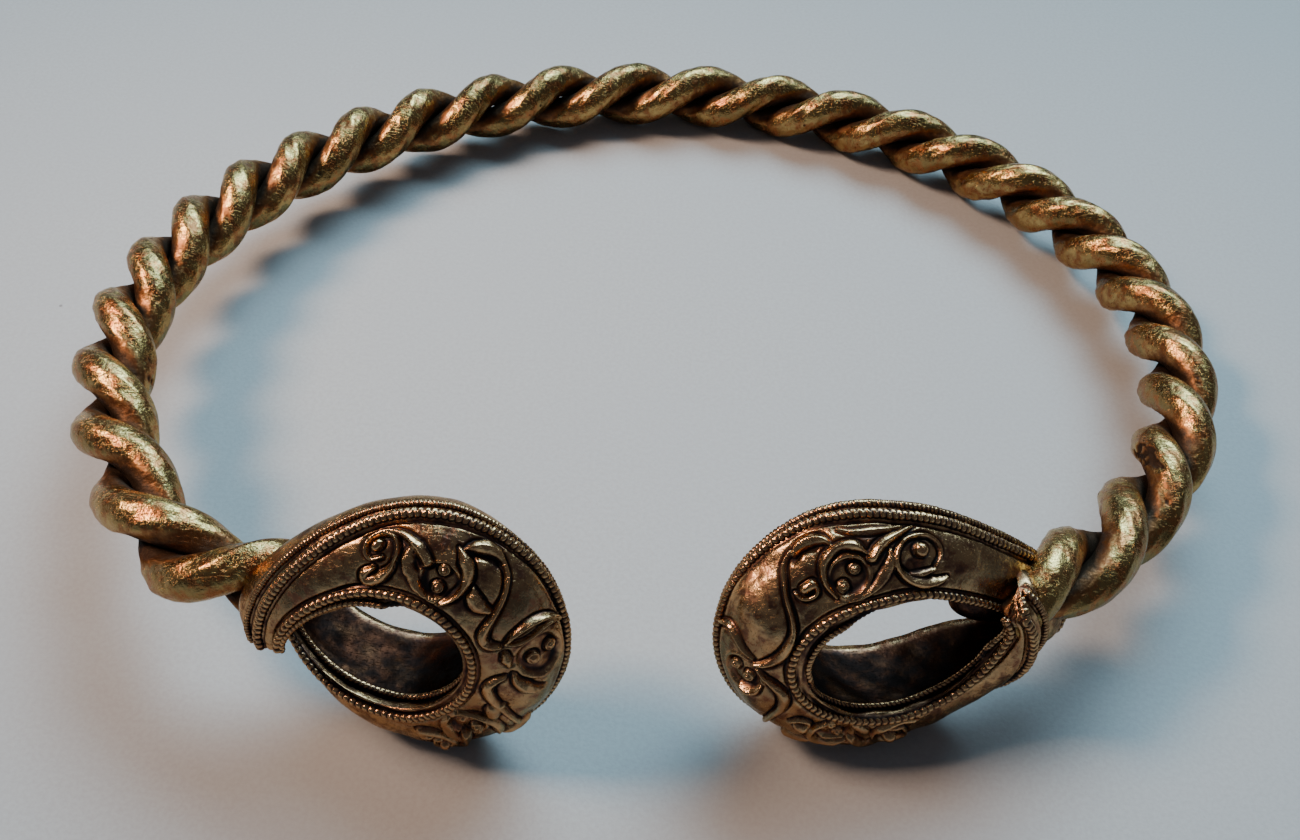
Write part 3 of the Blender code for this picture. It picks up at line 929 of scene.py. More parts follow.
class Relief:
    """Heights carved on a loop, sampled on its grid of angles and positions round the section.

    Whatever is raised, sunk or cut as a groove is kept apart until the end, because a groove that runs
    round one leaf must not cut through its neighbour.
    """

    def __init__(self, loop: LoopShape, angle: np.ndarray, round_: np.ndarray) -> None:
        """Start with the plain loop.

        Args:
            loop: The loop that is carved.
            angle: Angles of the grid, in radians.
            round_: Positions of the grid round the section.
        """
        self.loop = loop
        self.angle = angle
        self.round_ = round_
        self.points = loop.surface(angle, round_)
        along = np.gradient(self.points, axis=0)
        across = np.roll(self.points, -1, axis=1) - np.roll(self.points, 1, axis=1)
        self.normals = unit(np.cross(across, along)) * loop.side.mirror
        self.swell, self.sunk, self.raised, self.groove = np.zeros((4, *self.points.shape[:2]))

    def at(self, places: np.ndarray) -> np.ndarray:
        """Points of the plain loop at places of the band."""
        grid = self.loop.surface(np.radians(places[:, 0]), places[:, 1] / 100.0 % 1.0)
        return grid[np.arange(len(places)), np.arange(len(places))]

    def near(self, curve: np.ndarray, reach: float) -> tuple[np.ndarray, np.ndarray, np.ndarray]:
        """Grid points within reach of a curve, by their distance from its nearest straight piece.

        Args:
            curve: Points of the curve in space.
            reach: The greatest distance from it.

        Returns:
            Flat indices of the points, their distances from the curve, and how far along it they lie.
        """
        flat = self.points.reshape(-1, 3)
        inside = np.all((flat > curve.min(axis=0) - reach) & (flat < curve.max(axis=0) + reach), axis=1)
        begins, ends = ORNAMENTED
        on_face = np.broadcast_to((self.round_ < ends) | (self.round_ > begins), self.points.shape[:2])
        index = np.flatnonzero(inside & on_face.ravel())
        chosen = flat[index][:, None, :]
        start, step = curve[:-1][None], np.diff(curve, axis=0)[None]
        ratio = np.sum((chosen - start) * step, axis=2) / (np.sum(step * step, axis=2) + 1e-9)
        ratio = np.clip(ratio, 0.0, 1.0)
        distance = np.linalg.norm(chosen - start - ratio[..., None] * step, axis=2)
        nearest = np.argmin(distance, axis=1)
        rows = np.arange(len(index))
        lengths = lengths_along(curve)
        fraction = (lengths[nearest] + ratio[rows, nearest] * np.diff(lengths)[nearest]) / lengths[-1]
        close = distance[rows, nearest] < reach
        return index[close], distance[rows, nearest][close], fraction[close]

    def polar(self, place: Place, radii: tuple[float, float]) -> np.ndarray:
        """Distance of every grid point from a place, as a share of an ellipse's radii round it.

        Both ways it is measured flat, by the millimetres in a degree and in a hundredth at the place.

        Args:
            place: The middle of the ellipse.
            radii: Its radii round the loop and across the band, in millimetres.

        Returns:
            One value per grid point.
        """

        def span(step: Place) -> float:
            """Millimetres from half a step before the place to half a step after it."""
            return lengths_along(self.at(np.array(place) + np.outer([-0.5, 0.5], step)))[1]

        x = (np.degrees(self.angle) - place[0])[:, None] * span((1.0, 0.0)) / radii[0]
        y = (self.round_ * 100.0 - place[1])[None, :] * span((0.0, 1.0)) / radii[1]
        return np.hypot(x, y)

    def put(self, layer: np.ndarray, index: np.ndarray, value: np.ndarray) -> None:
        """Raise a layer to at least the given values at flat indices."""
        layer.flat[index] = np.maximum(layer.flat[index], value)

    def height(self) -> np.ndarray:
        """All layers together: swellings, less the ground, hollows and grooves, plus what is raised.

        Returns:
            The height over the plain loop at each grid point.
        """
        degrees = np.degrees(self.angle)
        along = smooth(degrees, *GROUND_ALONG[0]) * (1 - smooth(degrees, *GROUND_ALONG[1]))
        across = smooth(self.round_, *GROUND_ACROSS[0]) * (1 - smooth(self.round_, *GROUND_ACROSS[1]))
        ground = GROUND_DEPTH * along[:, None] * across[None, :]
        return self.swell - ground - self.sunk - self.open_groove() + self.raised

    def open_groove(self) -> np.ndarray:
        """The grooves, where nothing is raised over them."""
        return self.groove * (1.0 - smooth(self.raised, *BURIED))

    def slack(self, wall: np.ndarray) -> np.ndarray:
        """Uneven swells: a sum of cosine waves in random directions, higher on the inner walls.

        Args:
            wall: One on the inner walls and zero on the face, for each position round the section.

        Returns:
            The swells' height at each grid point.
        """
        rng = np.random.default_rng(5 if self.loop.side is Side.LEFT else 6)
        height = np.zeros(self.points.shape[:2])
        for *direction, pace in rng.normal(0.0, 1.0, (SLACK_WAVES, 4)):
            phase = self.points @ unit(np.array(direction)) * (0.9 + 0.5 * abs(pace)) + 7.0 * pace
            height += np.cos(phase)
        return height * (SLACK_HEIGHT + WALL_SLACK_HEIGHT * wall)

    def carved(self) -> tuple[np.ndarray, dict[str, np.ndarray]]:
        """The finished loop: its plain points moved along their normals by the height.

        What lies below or above its surroundings is the difference from the height averaged over the
        neighbours again and again.

        Returns:
            The points, and at each its grime and painted shade, its crest lightening (rubbed wear and
            painted highlight) and the inner wall's painted shade.
        """
        wall = smooth(self.round_, *WALL_SPAN[0]) * (1 - smooth(self.round_, *WALL_SPAN[1]))
        height = self.height() + self.slack(wall)
        around = height
        for _ in range(SURROUNDINGS):
            around = (around + np.roll(around, 1, axis=1) + np.roll(around, -1, axis=1)) / 3
            inner = (around[:-2] + around[1:-1] + around[2:]) / 3
            around = np.concatenate([around[:1], inner, around[-1:]])
        # Painted shade: what lies below its surroundings is darkened as the shade in a hollow would be;
        # what lies above is lightened, as rubbed wear and painted highlight.
        below = np.clip((around - height) / FULL_SHADE, 0.0, 1.0)
        above = np.clip((height - around) / FULL_SHADE, 0.0, 1.0)
        # Painted shade: one over the inner walls, whose gold is darkened and whose grazing reflections
        # are dulled.
        wall_shade = np.broadcast_to(wall, height.shape)
        # Hollows and open grooves take grime and painted shade; the inner walls take them as well.
        crevice = np.maximum(HOLLOW_DIRT_AND_SHADE * np.maximum(below, self.open_groove()), WALL_DIRT_AND_SHADE * wall_shade)
        points = self.points + self.normals * height[..., None]
        return points, {"crevice": crevice, "crest": above, "wall_shade": wall_shade}


def flipped(place: Place, about: float, shift: float) -> Place:
    """A place on the other side of an angle, moved across by some hundredths."""
    return (2 * about - place[0], place[1] + shift)


class Motif(ABC):
    """Something carved on a loop's band."""

    @abstractmethod
    def draw(self, relief: Relief) -> None:
        """Add the motif's height to the relief."""

    @abstractmethod
    def mirrored(self, about: float, shift: float) -> "Motif":
        """The same motif on the other side of an angle, moved across by some hundredths."""


@dataclass(frozen=True)
class PathMotif(Motif):
    """A motif that follows a path of places."""

    path: tuple[Place, ...]

    def mirrored(self, about: float, shift: float) -> "PathMotif":
        """The same motif along the mirrored path."""
        return replace(self, path=tuple(flipped(place, about, shift) for place in self.path))


@dataclass(frozen=True)
class RoundMotif(Motif):
    """A motif round one place."""

    centre: Place

    def mirrored(self, about: float, shift: float) -> "RoundMotif":
        """The same motif round the mirrored place."""
        return replace(self, centre=flipped(self.centre, about, shift))


@dataclass(frozen=True)
class Leaf(PathMotif):
    """A raised leaf, stem or bead drawn along a path.

    Attributes:
        widths: Half-widths in millimetres at even steps along it.
        height: Height where it is widest.
        ridge: 0 for a rounded back, 1 for a sharp one.
        moat: Depth of the groove round it.
    """

    widths: tuple[float, ...]
    height: float = 0.8
    ridge: float = 0.45
    moat: float = 0.38

    def draw(self, relief: Relief) -> None:
        """A cross-section between a half ellipse and a roof, lower where the leaf is thin.

        Its height goes with the square root of its width, and the groove beside it is a bell.

        Args:
            relief: The relief that it is added to.
        """
        widest = max(self.widths)
        index, distance, fraction = relief.near(relief.at(flowing(self.path)), widest + 0.9)
        half = np.interp(fraction, np.linspace(0.0, 1.0, len(self.widths)), self.widths)
        ratio = np.clip(distance / half, 0.0, 1.0)
        profile = mixed(np.sqrt(1 - ratio**2), 1 - ratio, self.ridge)
        tall = self.height * np.sqrt(half / widest)
        relief.put(relief.raised, index, np.where(distance < half, tall * profile, 0.0))
        beside = bell(distance - half - GAP_TO_GROOVE, GROOVE_WIDTH)
        relief.put(relief.groove, index, self.moat * beside)


@dataclass(frozen=True)
class Boss(RoundMotif):
    """A round knob, mostly with a thin ring cut into it.

    Attributes:
        radius: Its radius in millimetres.
        height: Its height.
        ringed: Whether it has the ring.
    """

    radius: float
    height: float = 0.8
    ringed: bool = True

    def draw(self, relief: Relief) -> None:
        """A half ellipse across, less a narrow bell beyond half its radius, in a shallow ditch.

        Args:
            relief: The relief that it is added to.
        """
        ratio = relief.polar(self.centre, (self.radius, self.radius))
        dome = self.height * np.sqrt(np.clip(1 - ratio**2, 0.0, 1.0))
        if self.ringed:
            place, width = BOSS_RING
            dome = dome - BOSS_RING_DEPTH * bell(ratio - place, width) * (ratio < 1)
        outside = (ratio - 1.0) * self.radius
        ditch = BOSS_DITCH_DEPTH * bell(outside - GAP_TO_GROOVE, BOSS_DITCH_WIDTH)
        relief.raised = np.maximum(relief.raised, dome)
        relief.groove = np.maximum(relief.groove, ditch)


@dataclass(frozen=True)
class Sinking(RoundMotif):
    """A round hollow with a flat floor and steep sides, behind a roundel's bosses.

    Attributes:
        radii: Its radii round the loop and across the band, in millimetres.
        depth: Depth of its floor.
        rim: Height of the slight rim round it.
    """

    radii: tuple[float, float]
    depth: float = 0.6
    rim: float = 0.18

    def draw(self, relief: Relief) -> None:
        """Flat inside four fifths of the radii, rising to the edge, with a bell for the rim.

        Args:
            relief: The relief that it is added to.
        """
        ratio = relief.polar(self.centre, self.radii)
        place, width = SINKING_RIM
        floor = self.depth * (1 - smooth(ratio, *SINKING_SIDES))
        relief.sunk = np.maximum(relief.sunk, floor)
        relief.swell = np.maximum(relief.swell, self.rim * bell(ratio - place, width))


@dataclass(frozen=True)
class Swelling(PathMotif):
    """A broad smooth rise of the ground along a path.

    Attributes:
        radius: Distance from the path at which it has fallen to a third.
        height: Its height.
    """

    radius: float
    height: float

    def draw(self, relief: Relief) -> None:
        """A bell across the path."""
        index, distance, _ = relief.near(relief.at(flowing(self.path)), self.radius * 1.9)
        relief.put(relief.swell, index, self.height * bell(distance, self.radius))


@dataclass(frozen=True)
class Cut(PathMotif):
    """A hollow or a groove along a path.

    Attributes:
        radius: Distance from the path at which it has risen to a third of its depth.
        depth: Its depth.
    """

    radius: float
    depth: float

    def draw(self, relief: Relief) -> None:
        """A bell across the path, below the ground."""
        index, distance, _ = relief.near(relief.at(flowing(self.path)), self.radius * 2.2)
        relief.put(relief.sunk, index, self.depth * bell(distance, self.radius))


@dataclass(frozen=True)
class MilledRow:
    """A row of small slanting beads along a loop's band, like a twisted wire.

    Attributes:
        name: Last part of the piece's name.
        course: Angles in degrees with the position across in hundredths at each.
        radius: Radius of the wire in millimetres.
        pitch: Length of one bead.
        slant: How far a bead leans, in beads for a quarter turn round the wire.
        cut: Depth of the notch between beads as a share of the radius.
        lift: Height of the wire's middle over the band, as a share of the radius.
        samples: Points per bead along the wire and round it.
        ends: Angles in degrees left free at the lower and the upper tip.
    """

    name: str
    course: tuple[Place, ...]
    radius: float
    pitch: float
    slant: float
    cut: float = 0.30
    lift: float = 0.15
    samples: tuple[int, int] = (8, 10)
    ends: tuple[float, float] = (5.0, 5.0)

    def places(self, loop: LoopShape, count: int) -> np.ndarray:
        """Places along the row, its course averaged over a few degrees so that it has no corners.

        Args:
            loop: The loop that it lies on.
            count: Number of places.

        Returns:
            The places from the lower to the upper tip.
        """
        start, end = (math.degrees(v) for v in loop.limits())
        degrees = np.linspace(start + self.ends[0], end - self.ends[1], count)
        knots = np.array(self.course)
        shifted = degrees + 4.0 * np.arange(-2, 3)[:, None]
        return np.stack([degrees, np.interp(shifted, *knots.T).mean(axis=0)], axis=-1)

    def bed(self, relief: Relief) -> None:
        """Cut the two grooves that the row lies between, each a bell across.

        Args:
            relief: The relief that they are added to.
        """
        index, distance, _ = relief.near(relief.at(self.places(relief.loop, 160)), self.radius + 1.0)
        beside = bell(distance - self.radius - GAP_TO_GROOVE, BED_WIDTH)
        relief.put(relief.groove, index, BED_DEPTH * beside)

    def build(self, relief: Relief) -> tuple[np.ndarray, dict[str, np.ndarray]]:
        """The beaded wire.

        The radius is the wire's own, less the notch's depth times the third power of the distance from
        the bead's middle; the notches turn round the wire as a screw does. At its ends the wire closes
        as a quarter circle.

        Args:
            relief: The relief that the wire lies on.

        Returns:
            Array (rings, angles, 3) in the hoop's frame, and at each point its grime and painted shade
            and its crest lightening (rubbed wear and painted highlight).
        """
        places = self.places(relief.loop, 900)
        guide, ahead = relief.at(places), relief.at(places + [0.0, 0.6])
        lengths = lengths_along(guide)
        beads = max(int(round(lengths[-1] / self.pitch)), 4)
        along = np.linspace(0.0, lengths[-1], beads * self.samples[0] + 1)

        def read(values: np.ndarray) -> np.ndarray:
            """Points at the wire's even steps."""
            return np.stack([np.interp(along, lengths, values[:, k]) for k in range(3)], axis=-1)

        centre = read(guide)
        tangent = unit(np.gradient(centre, axis=0))
        side = across_tangent(read(ahead) - centre, tangent)
        normal = np.cross(side, tangent) * relief.loop.side.mirror
        centre = centre + normal * self.radius * self.lift
        around = np.linspace(0.0, FULL_TURN, self.samples[1], endpoint=False)
        phase = along[:, None] / lengths[-1] * beads + self.slant * around[None, :] / (math.pi / 2)
        from_middle = np.abs(2.0 * (phase % 1.0) - 1.0)
        rng = np.random.default_rng(len(self.name) * 7 + int(relief.loop.side is Side.LEFT))
        uneven = np.repeat(rng.uniform(*UNEVEN_BEADS, beads + 1), self.samples[0])[: len(along)]
        nearness = np.clip(np.minimum(along, lengths[-1] - along) / self.radius, 0.0, 1.0)
        closing = mixed(0.15, 1.0, np.sqrt(1.0 - (1.0 - nearness) ** 2))
        radius = self.radius * (uneven * closing)[:, None] * (1.0 - self.cut * from_middle**3)
        # Painted shade in the notches between beads and on the wire's underside against the band; the
        # crest is lightened as rubbed wear and painted highlight.
        shaded_underside = smooth(-np.cos(around), -0.35, 0.45)[None, :]
        crevice = np.clip(from_middle**4 * 1.15 + shaded_underside, 0.0, 1.0)
        crest = np.clip(1.0 - 1.6 * crevice, 0.0, 1.0)
        return tube(centre, normal, side, radius, around), {"crevice": crevice, "crest": crest}


# The arm of a loop carries a roundel, leaves, a stem and a comma spiral; the gap's end a roundel
# between two stems. The lower arm repeats the upper arm's pattern the other way round.

LEFT_ARM: tuple[Motif, ...] = (
    Leaf(((49.5, 13.6), (53, 12.7), (57.5, 12.8), (62.5, 15.8)), (0.5, 1.15, 1.1, 0.12), 0.85, 0.25),
    Swelling(((54, 19), (60, 22), (64, 24)), 1.9, 0.30),
    Cut(((60.5, 27), (65, 26.6), (69.5, 24.6)), 0.5, 0.42),
    Leaf(
        ((59, 29.4), (63, 30.8), (67.5, 30.0), (71, 27.6), (73.8, 24.6)),
        (0.3, 0.75, 1.05, 0.85, 0.12), 0.95, 0.6,
    ),
    Sinking((76, 11.6), (2.6, 2.6), 0.62),
    Boss((75.5, 9.3), 0.86, 0.86),
    Boss((76.6, 15.2), 0.86, 0.86),
    Leaf(
        ((69.5, 5.8), (65.8, 9), (65, 13), (66.8, 17.5), (70.5, 21), (75.8, 24.6)),
        (0.2, 0.42, 0.55, 0.75, 0.95, 0.12), 0.85, 0.6,
    ),
    Leaf(
        ((79.5, 6.0), (86, 7.6), (90.3, 12), (91.6, 17), (90.6, 21)),
        (0.2, 0.7, 0.9, 0.8, 0.25), 0.55, 0.2, 0.2,
    ),
    Leaf(
        ((84.4, 15.8), (87.5, 18.4), (91, 21.9), (95, 25.1), (100, 26.8), (105.5, 25.6)),
        (0.75, 0.8, 0.66, 0.5, 0.42, 0.2), 0.95, 0.7,
    ),
    Leaf(
        ((96, 14.5), (95.2, 19), (96.9, 23.8), (101, 26.2), (104.8, 24.6), (105.6, 20.5), (103.6, 17),
         (100, 17.0)),
        (0.3, 0.36, 0.4, 0.4, 0.36, 0.34, 0.3, 0.2), 0.62, 0.5, 0.3,
    ),
    Boss((101.8, 21.7), 0.85, 1.0, False),
    Leaf(
        ((95.7, 15), (97, 12.4), (100.5, 9.9), (104.6, 9.6), (105.4, 12), (102.6, 13.4)),
        (0.25, 0.5, 0.8, 0.9, 0.7, 0.4), 0.95, 0.4,
    ),
)

LEFT_GAP: tuple[Motif, ...] = (
    Leaf(
        ((27.5, 10.6), (29.5, 8.3), (34, 7.2), (39, 8.3), (43.5, 11.5), (47.5, 16), (51, 21),
         (55.5, 26.5), (60, 29.8)),
        (0.4, 0.75, 0.72, 0.5, 0.42, 0.36, 0.36, 0.4, 0.4), 0.8, 0.55,
    ),
    Swelling(((38, 15), (42, 21), (45, 27)), 3.0, 0.40),
    Swelling(((29.4, 15), (31.2, 20), (31.4, 25), (29.4, 31)), 1.1, 0.40),
    Leaf(
        ((28.5, 12.2), (27.3, 16), (27.9, 20.5), (29.3, 25.5), (29, 30), (26, 35)),
        (0.2, 0.36, 0.36, 0.34, 0.34, 0.2), 0.62, 0.5,
    ),
    Leaf(
        ((28.9, 12.4), (32.3, 15.5), (33.9, 20), (33.4, 25), (30.9, 30.5), (26.4, 35.2)),
        (0.2, 0.5, 0.62, 0.55, 0.42, 0.2), 0.85, 0.6,
    ),
    Leaf(((14.6, 11.8), (18, 11.4), (21.6, 11.3)), (0.4, 0.78, 0.4), 0.8, 0.1),
    Sinking((15.5, 23), (3.7, 3.6), 0.7),
    Boss((14.4, 19.8), 1.1, 0.95),
    Boss((17.2, 28.2), 1.05, 0.9),
    Leaf(
        ((7.5, 13.2), (3, 14.2), (-0.6, 17), (-2.4, 20), (-2.6, 24.5)),
        (0.25, 0.75, 1.0, 0.75, 0.2), 0.95, 0.45,
    ),
    Leaf(
        ((5.8, 11.0), (2, 8.2), (-3, 7), (-8.5, 7.4), (-14, 9.3), (-19, 13), (-24, 18), (-28, 23),
         (-32, 28)),
        (0.2, 0.7, 0.85, 0.78, 0.6, 0.45, 0.4, 0.4, 0.3), 0.85, 0.5,
    ),
    Swelling(((-4, 13), (-9, 17), (-14, 22)), 2.4, 0.40),
)

RIGHT_ARM: tuple[Motif, ...] = (
    Leaf(
        ((48.8, 16.8), (49.6, 14), (52.4, 12.6), (55.6, 12.7), (57.6, 15.2)),
        (0.2, 0.34, 0.4, 0.34, 0.15), 0.6,
    ),
    Leaf(((52.6, 15.9), (55.8, 15.7)), (0.7, 0.75), 0.9, 0.2),
    Swelling(((55, 19), (58.5, 23)), 1.7, 0.32),
    Cut(((55.3, 25.6), (59, 27), (62.6, 25.8)), 0.5, 0.45),
    Leaf(
        ((55.8, 27.8), (59, 29.8), (63, 29.6), (66.5, 27.4), (68.2, 24.4)),
        (0.3, 0.8, 0.9, 0.75, 0.12), 0.95, 0.6,
    ),
    Sinking((70, 12.6), (2.75, 2.7), 0.62),
    Boss((66.1, 10.3), 0.88, 0.86),
    Boss((73.1, 14.1), 0.88, 0.86),
    Leaf(
        ((61.2, 8.6), (60.2, 13.5), (62.4, 18.6), (66.3, 21.7), (71, 22.8), (75.6, 21.7), (79.4, 17.8)),
        (0.2, 0.4, 0.5, 0.78, 0.62, 0.8, 0.15), 0.85, 0.55,
    ),
    Leaf(
        ((66, 6.1), (72, 5.6), (78.5, 7.2), (84, 10), (87.6, 14), (88.6, 18)),
        (0.18, 0.22, 0.55, 0.85, 0.75, 0.25), 0.55, 0.2, 0.2,
    ),
    Leaf(
        ((81, 16.2), (83.6, 18.8), (87.5, 21.4), (92, 23.5), (95.5, 25.6), (98, 27.6)),
        (0.75, 0.85, 0.75, 0.62, 0.42, 0.15), 0.95, 0.7,
    ),
    Leaf(
        ((72, 29.3), (76, 26.8), (82, 25.6), (89, 25.8), (95, 27.3)),
        (0.2, 0.5, 0.62, 0.5, 0.2), 0.5, 0.4, 0.2,
    ),
    Leaf(
        ((111.5, 9.0), (107, 7.0), (102, 6.3), (96, 7.6), (91.7, 10.5), (90.5, 14.5), (92.5, 19),
         (96.5, 22.7), (102, 23.8), (106, 20.8), (107, 16.5), (105.3, 12.6)),
        (0.15, 0.62, 0.8, 0.65, 0.45, 0.38, 0.36, 0.36, 0.36, 0.34, 0.3, 0.2), 0.78, 0.5,
    ),
    Leaf(((95.8, 9.6), (100.5, 9.5), (105.2, 11.3)), (0.2, 0.5, 0.25), 0.6, 0.4, 0.2),
    Cut(((94.2, 12), (96, 14), (98, 13.0)), 0.6, 0.35),
    Boss((99.5, 17.9), 1.05, 1.05, False),
)

RIGHT_GAP: tuple[Motif, ...] = (
    Leaf(
        ((13, 16.8), (14, 13.3), (17.5, 10), (23, 8.3), (30, 8), (36, 9), (41, 12), (45, 17), (48.5, 22),
         (51.5, 27), (55.5, 29.6)),
        (0.2, 0.7, 0.8, 0.68, 0.5, 0.42, 0.38, 0.36, 0.36, 0.36, 0.3), 0.8, 0.5,
    ),
    Swelling(((31, 15), (33.5, 21), (34, 27)), 2.9, 0.95),
    Leaf(
        ((15.3, 17), (18, 21.5), (21.3, 25.5), (22.8, 30), (21, 35), (17.5, 39.5)),
        (0.15, 0.42, 0.62, 0.55, 0.42, 0.2), 0.8, 0.6,
    ),
    Leaf(
        ((10.8, 15.5), (6.5, 12.9), (2, 10.4), (-3, 8.8), (-8.5, 9.3), (-13.5, 12), (-17, 17), (-21, 23),
         (-24, 29)),
        (0.2, 0.42, 0.72, 0.88, 0.78, 0.58, 0.42, 0.36, 0.3), 0.88, 0.5,
    ),
    Swelling(((-6, 14), (-10, 19)), 2.2, 0.40),
    Sinking((6.2, 22), (3.0, 3.0), 0.7),
    Boss((4.6, 19.6), 0.9, 0.9),
    Boss((8.4, 25.4), 0.9, 0.9),
    Leaf(((1.4, 15.0), (-1.4, 17.4), (-2, 20.5), (-0.8, 24.5)), (0.15, 0.5, 0.55, 0.2), 0.7),
)


def mirrored(motifs: Sequence[Motif], about: float, shift: float) -> tuple[Motif, ...]:
    """Motifs repeated on the other side of an angle, moved across by some hundredths."""
    return tuple(motif.mirrored(about, shift) for motif in motifs)


ORNAMENT = {
    Side.LEFT: LEFT_GAP + LEFT_ARM + mirrored(LEFT_ARM, about=16.5, shift=-0.6),
    Side.RIGHT: RIGHT_GAP + RIGHT_ARM + mirrored(RIGHT_ARM, about=12.5, shift=-3.0),
}
"""Everything carved on each loop."""

ROWS = {
    Side.LEFT: (
        MilledRow(
            "inner_milling",
            ((-185, 5.0), (-140, 5.0), (-120, 4.0), (-90, 2.8), (-45, 2.6), (40, 2.2), (82, 2.6),
             (95, 4.0), (107, 6.0), (120, 7.2), (150, 9.6), (204, 10.5)),
            radius=0.62, pitch=0.95, slant=0.32, ends=(5.0, 8.0),
        ),
        MilledRow(
            "inner_rope",
            ((-185, -3.4), (-150, -4.0), (-90, -5.2), (-20, -4.8), (40, -3.6), (80, -3.2), (96, -1.2),
             (108, 2.0), (120, 3.4), (150, 4.6), (204, 5.5)),
            radius=0.50, pitch=0.72, slant=0.45, lift=0.30, samples=(6, 8), ends=(5.0, 9.0),
        ),
        MilledRow(
            "outer_milling",
            ((-185, 30), (-150, 31), (-120, 34), (-90, 36), (-60, 37), (0, 38.5), (45, 38.8), (60, 38),
             (70, 36.5), (80, 35), (90, 34), (100, 33.2), (110, 32), (122, 29.8), (150, 28.8),
             (204, 27.5)),
            radius=0.74, pitch=0.85, slant=0.18,
        ),
        MilledRow(
            "outer_rope",
            ((-185, 38), (-120, 40), (-60, 42), (0, 43), (45, 43), (60, 42), (70, 41), (80, 40),
             (90, 39), (100, 38.4), (125, 38.4), (150, 38.8), (204, 38.0)),
            radius=0.50, pitch=0.52, slant=0.40, samples=(6, 8),
        ),
    ),
    Side.RIGHT: (
        MilledRow(
            "inner_milling",
            ((-203, 7.0), (-150, 7.0), (-140, 6.3), (-120, 3.2), (-90, 1.9), (-45, 1.8), (-25, 2.8),
             (-10, 3.8), (8, 5.2), (30, 5.1), (45, 4.6), (60, 3.8), (75, 2.9), (100, 2.8), (112, 2.0),
             (125, 1.4), (188, 1.4)),
            radius=0.62, pitch=0.95, slant=0.32,
        ),
        MilledRow(
            "inner_rope",
            ((-203, 2.5), (-150, 0.5), (-120, -3.6), (-70, -4.8), (-25, -4.2), (-5, -1.2), (10, 0.6),
             (45, 0.6), (60, -0.4), (80, -2.0), (188, -2.2)),
            radius=0.48, pitch=0.70, slant=0.45, lift=0.25, samples=(6, 8),
        ),
        MilledRow(
            "outer_milling",
            ((-203, 33), (-170, 34), (-120, 36), (-90, 37), (-45, 38), (40, 39), (55, 38), (65, 36.5),
             (75, 34.5), (85, 32.4), (95, 31.6), (115, 31.2), (135, 29.6), (160, 31.0), (188, 32.0)),
            radius=0.74, pitch=0.85, slant=0.18, ends=(0.6, 4.0),
        ),
        MilledRow(
            "outer_rope",
            ((-203, 41), (-170, 41.5), (-90, 42), (0, 43), (55, 42.6), (75, 40.4), (85, 38.6),
             (100, 38.0), (120, 37.6), (188, 38.5)),
            radius=0.62, pitch=0.62, slant=0.40, samples=(6, 8), ends=(0.6, 4.0),
        ),
    ),
}


# --------------------------------------------------------------------------------------------------
# Meshes
# --------------------------------------------------------------------------------------------------


def grid_mesh(
    name: str, points: np.ndarray, values: dict[str, np.ndarray], flip: bool = False
) -> bpy.types.Mesh:
    """A closed tube from a grid of points that is closed round its second axis.

    Whatever would lie lower than the table is worn flat just above it.

    Args:
        name: Name of the mesh.
        points: Array (rows, columns, 3) in the hoop's frame, in millimetres.
        values: Arrays (rows, columns) that are stored as attributes of the points.
        flip: Whether the faces wind the other way.

    Returns:
        The mesh, with a pole at each end.
    """
    rows, columns, _ = points.shape
    poles = np.stack([points[0].mean(axis=0), points[-1].mean(axis=0)])
    corners = lying(np.concatenate([points.reshape(-1, 3), poles]))
    corners[:, 2] = np.maximum(corners[:, 2], WORN_AT)
    index = np.arange(rows * columns).reshape(rows, columns)
    following = np.roll(index, -1, axis=1)
    quads = np.stack([index[:-1], following[:-1], following[1:], index[1:]], axis=-1).reshape(-1, 4)
    first = np.stack([following[0], index[0], np.full(columns, rows * columns)], axis=-1)
    last = np.stack([index[-1], following[-1], np.full(columns, rows * columns + 1)], axis=-1)
    caps = np.concatenate([first, last])
    if flip:
        quads, caps = quads[:, ::-1], caps[:, ::-1]
    loops = np.concatenate([quads.ravel(), caps.ravel()])
    totals = np.concatenate([np.full(len(quads), 4), np.full(len(caps), 3)])
    starts = np.concatenate([[0], np.cumsum(totals)[:-1]])
    mesh = bpy.data.meshes.new(name)
    mesh.vertices.add(len(corners))
    mesh.vertices.foreach_set("co", (corners * MM).astype(np.float32).ravel())
    mesh.loops.add(len(loops))
    mesh.loops.foreach_set("vertex_index", loops.astype(np.int32))
    mesh.polygons.add(len(totals))
    mesh.polygons.foreach_set("loop_start", starts.astype(np.int32))
    mesh.polygons.foreach_set("loop_total", totals.astype(np.int32))
    mesh.update(calc_edges=True)
    mesh.validate()
    for key, value in values.items():
        attribute = mesh.attributes.new(key, "FLOAT", "POINT")
        per_point = np.concatenate([value.ravel(), value[0, :1], value[-1, :1]])
        attribute.data.foreach_set("value", per_point.astype(np.float32))
    mesh.polygons.foreach_set("use_smooth", np.ones(len(mesh.polygons), dtype=bool))
    return mesh


def add_object(name: str, data: bpy.types.ID) -> bpy.types.Object:
    """Put a mesh, a lamp or a camera in the scene.

    Args:
        name: Name of the object.
        data: What it shows.

    Returns:
        The new object.
    """
    thing = bpy.data.objects.new(name, data)
    bpy.context.scene.collection.objects.link(thing)
    return thing


def add_piece(name: str, mesh: bpy.types.Mesh, material: bpy.types.Material) -> bpy.types.Object:
    """Put a mesh in the scene as a piece of the torc.

    Args:
        name: Name of the piece.
        mesh: Its mesh.
        material: What it is made of.

    Returns:
        The new object.
    """
    mesh.materials.append(material)
    LOG.info("%s: %d triangles", name, len(mesh.loops) - 2 * len(mesh.polygons))
    return add_object(name, mesh)


# --------------------------------------------------------------------------------------------------
# Materials
# --------------------------------------------------------------------------------------------------


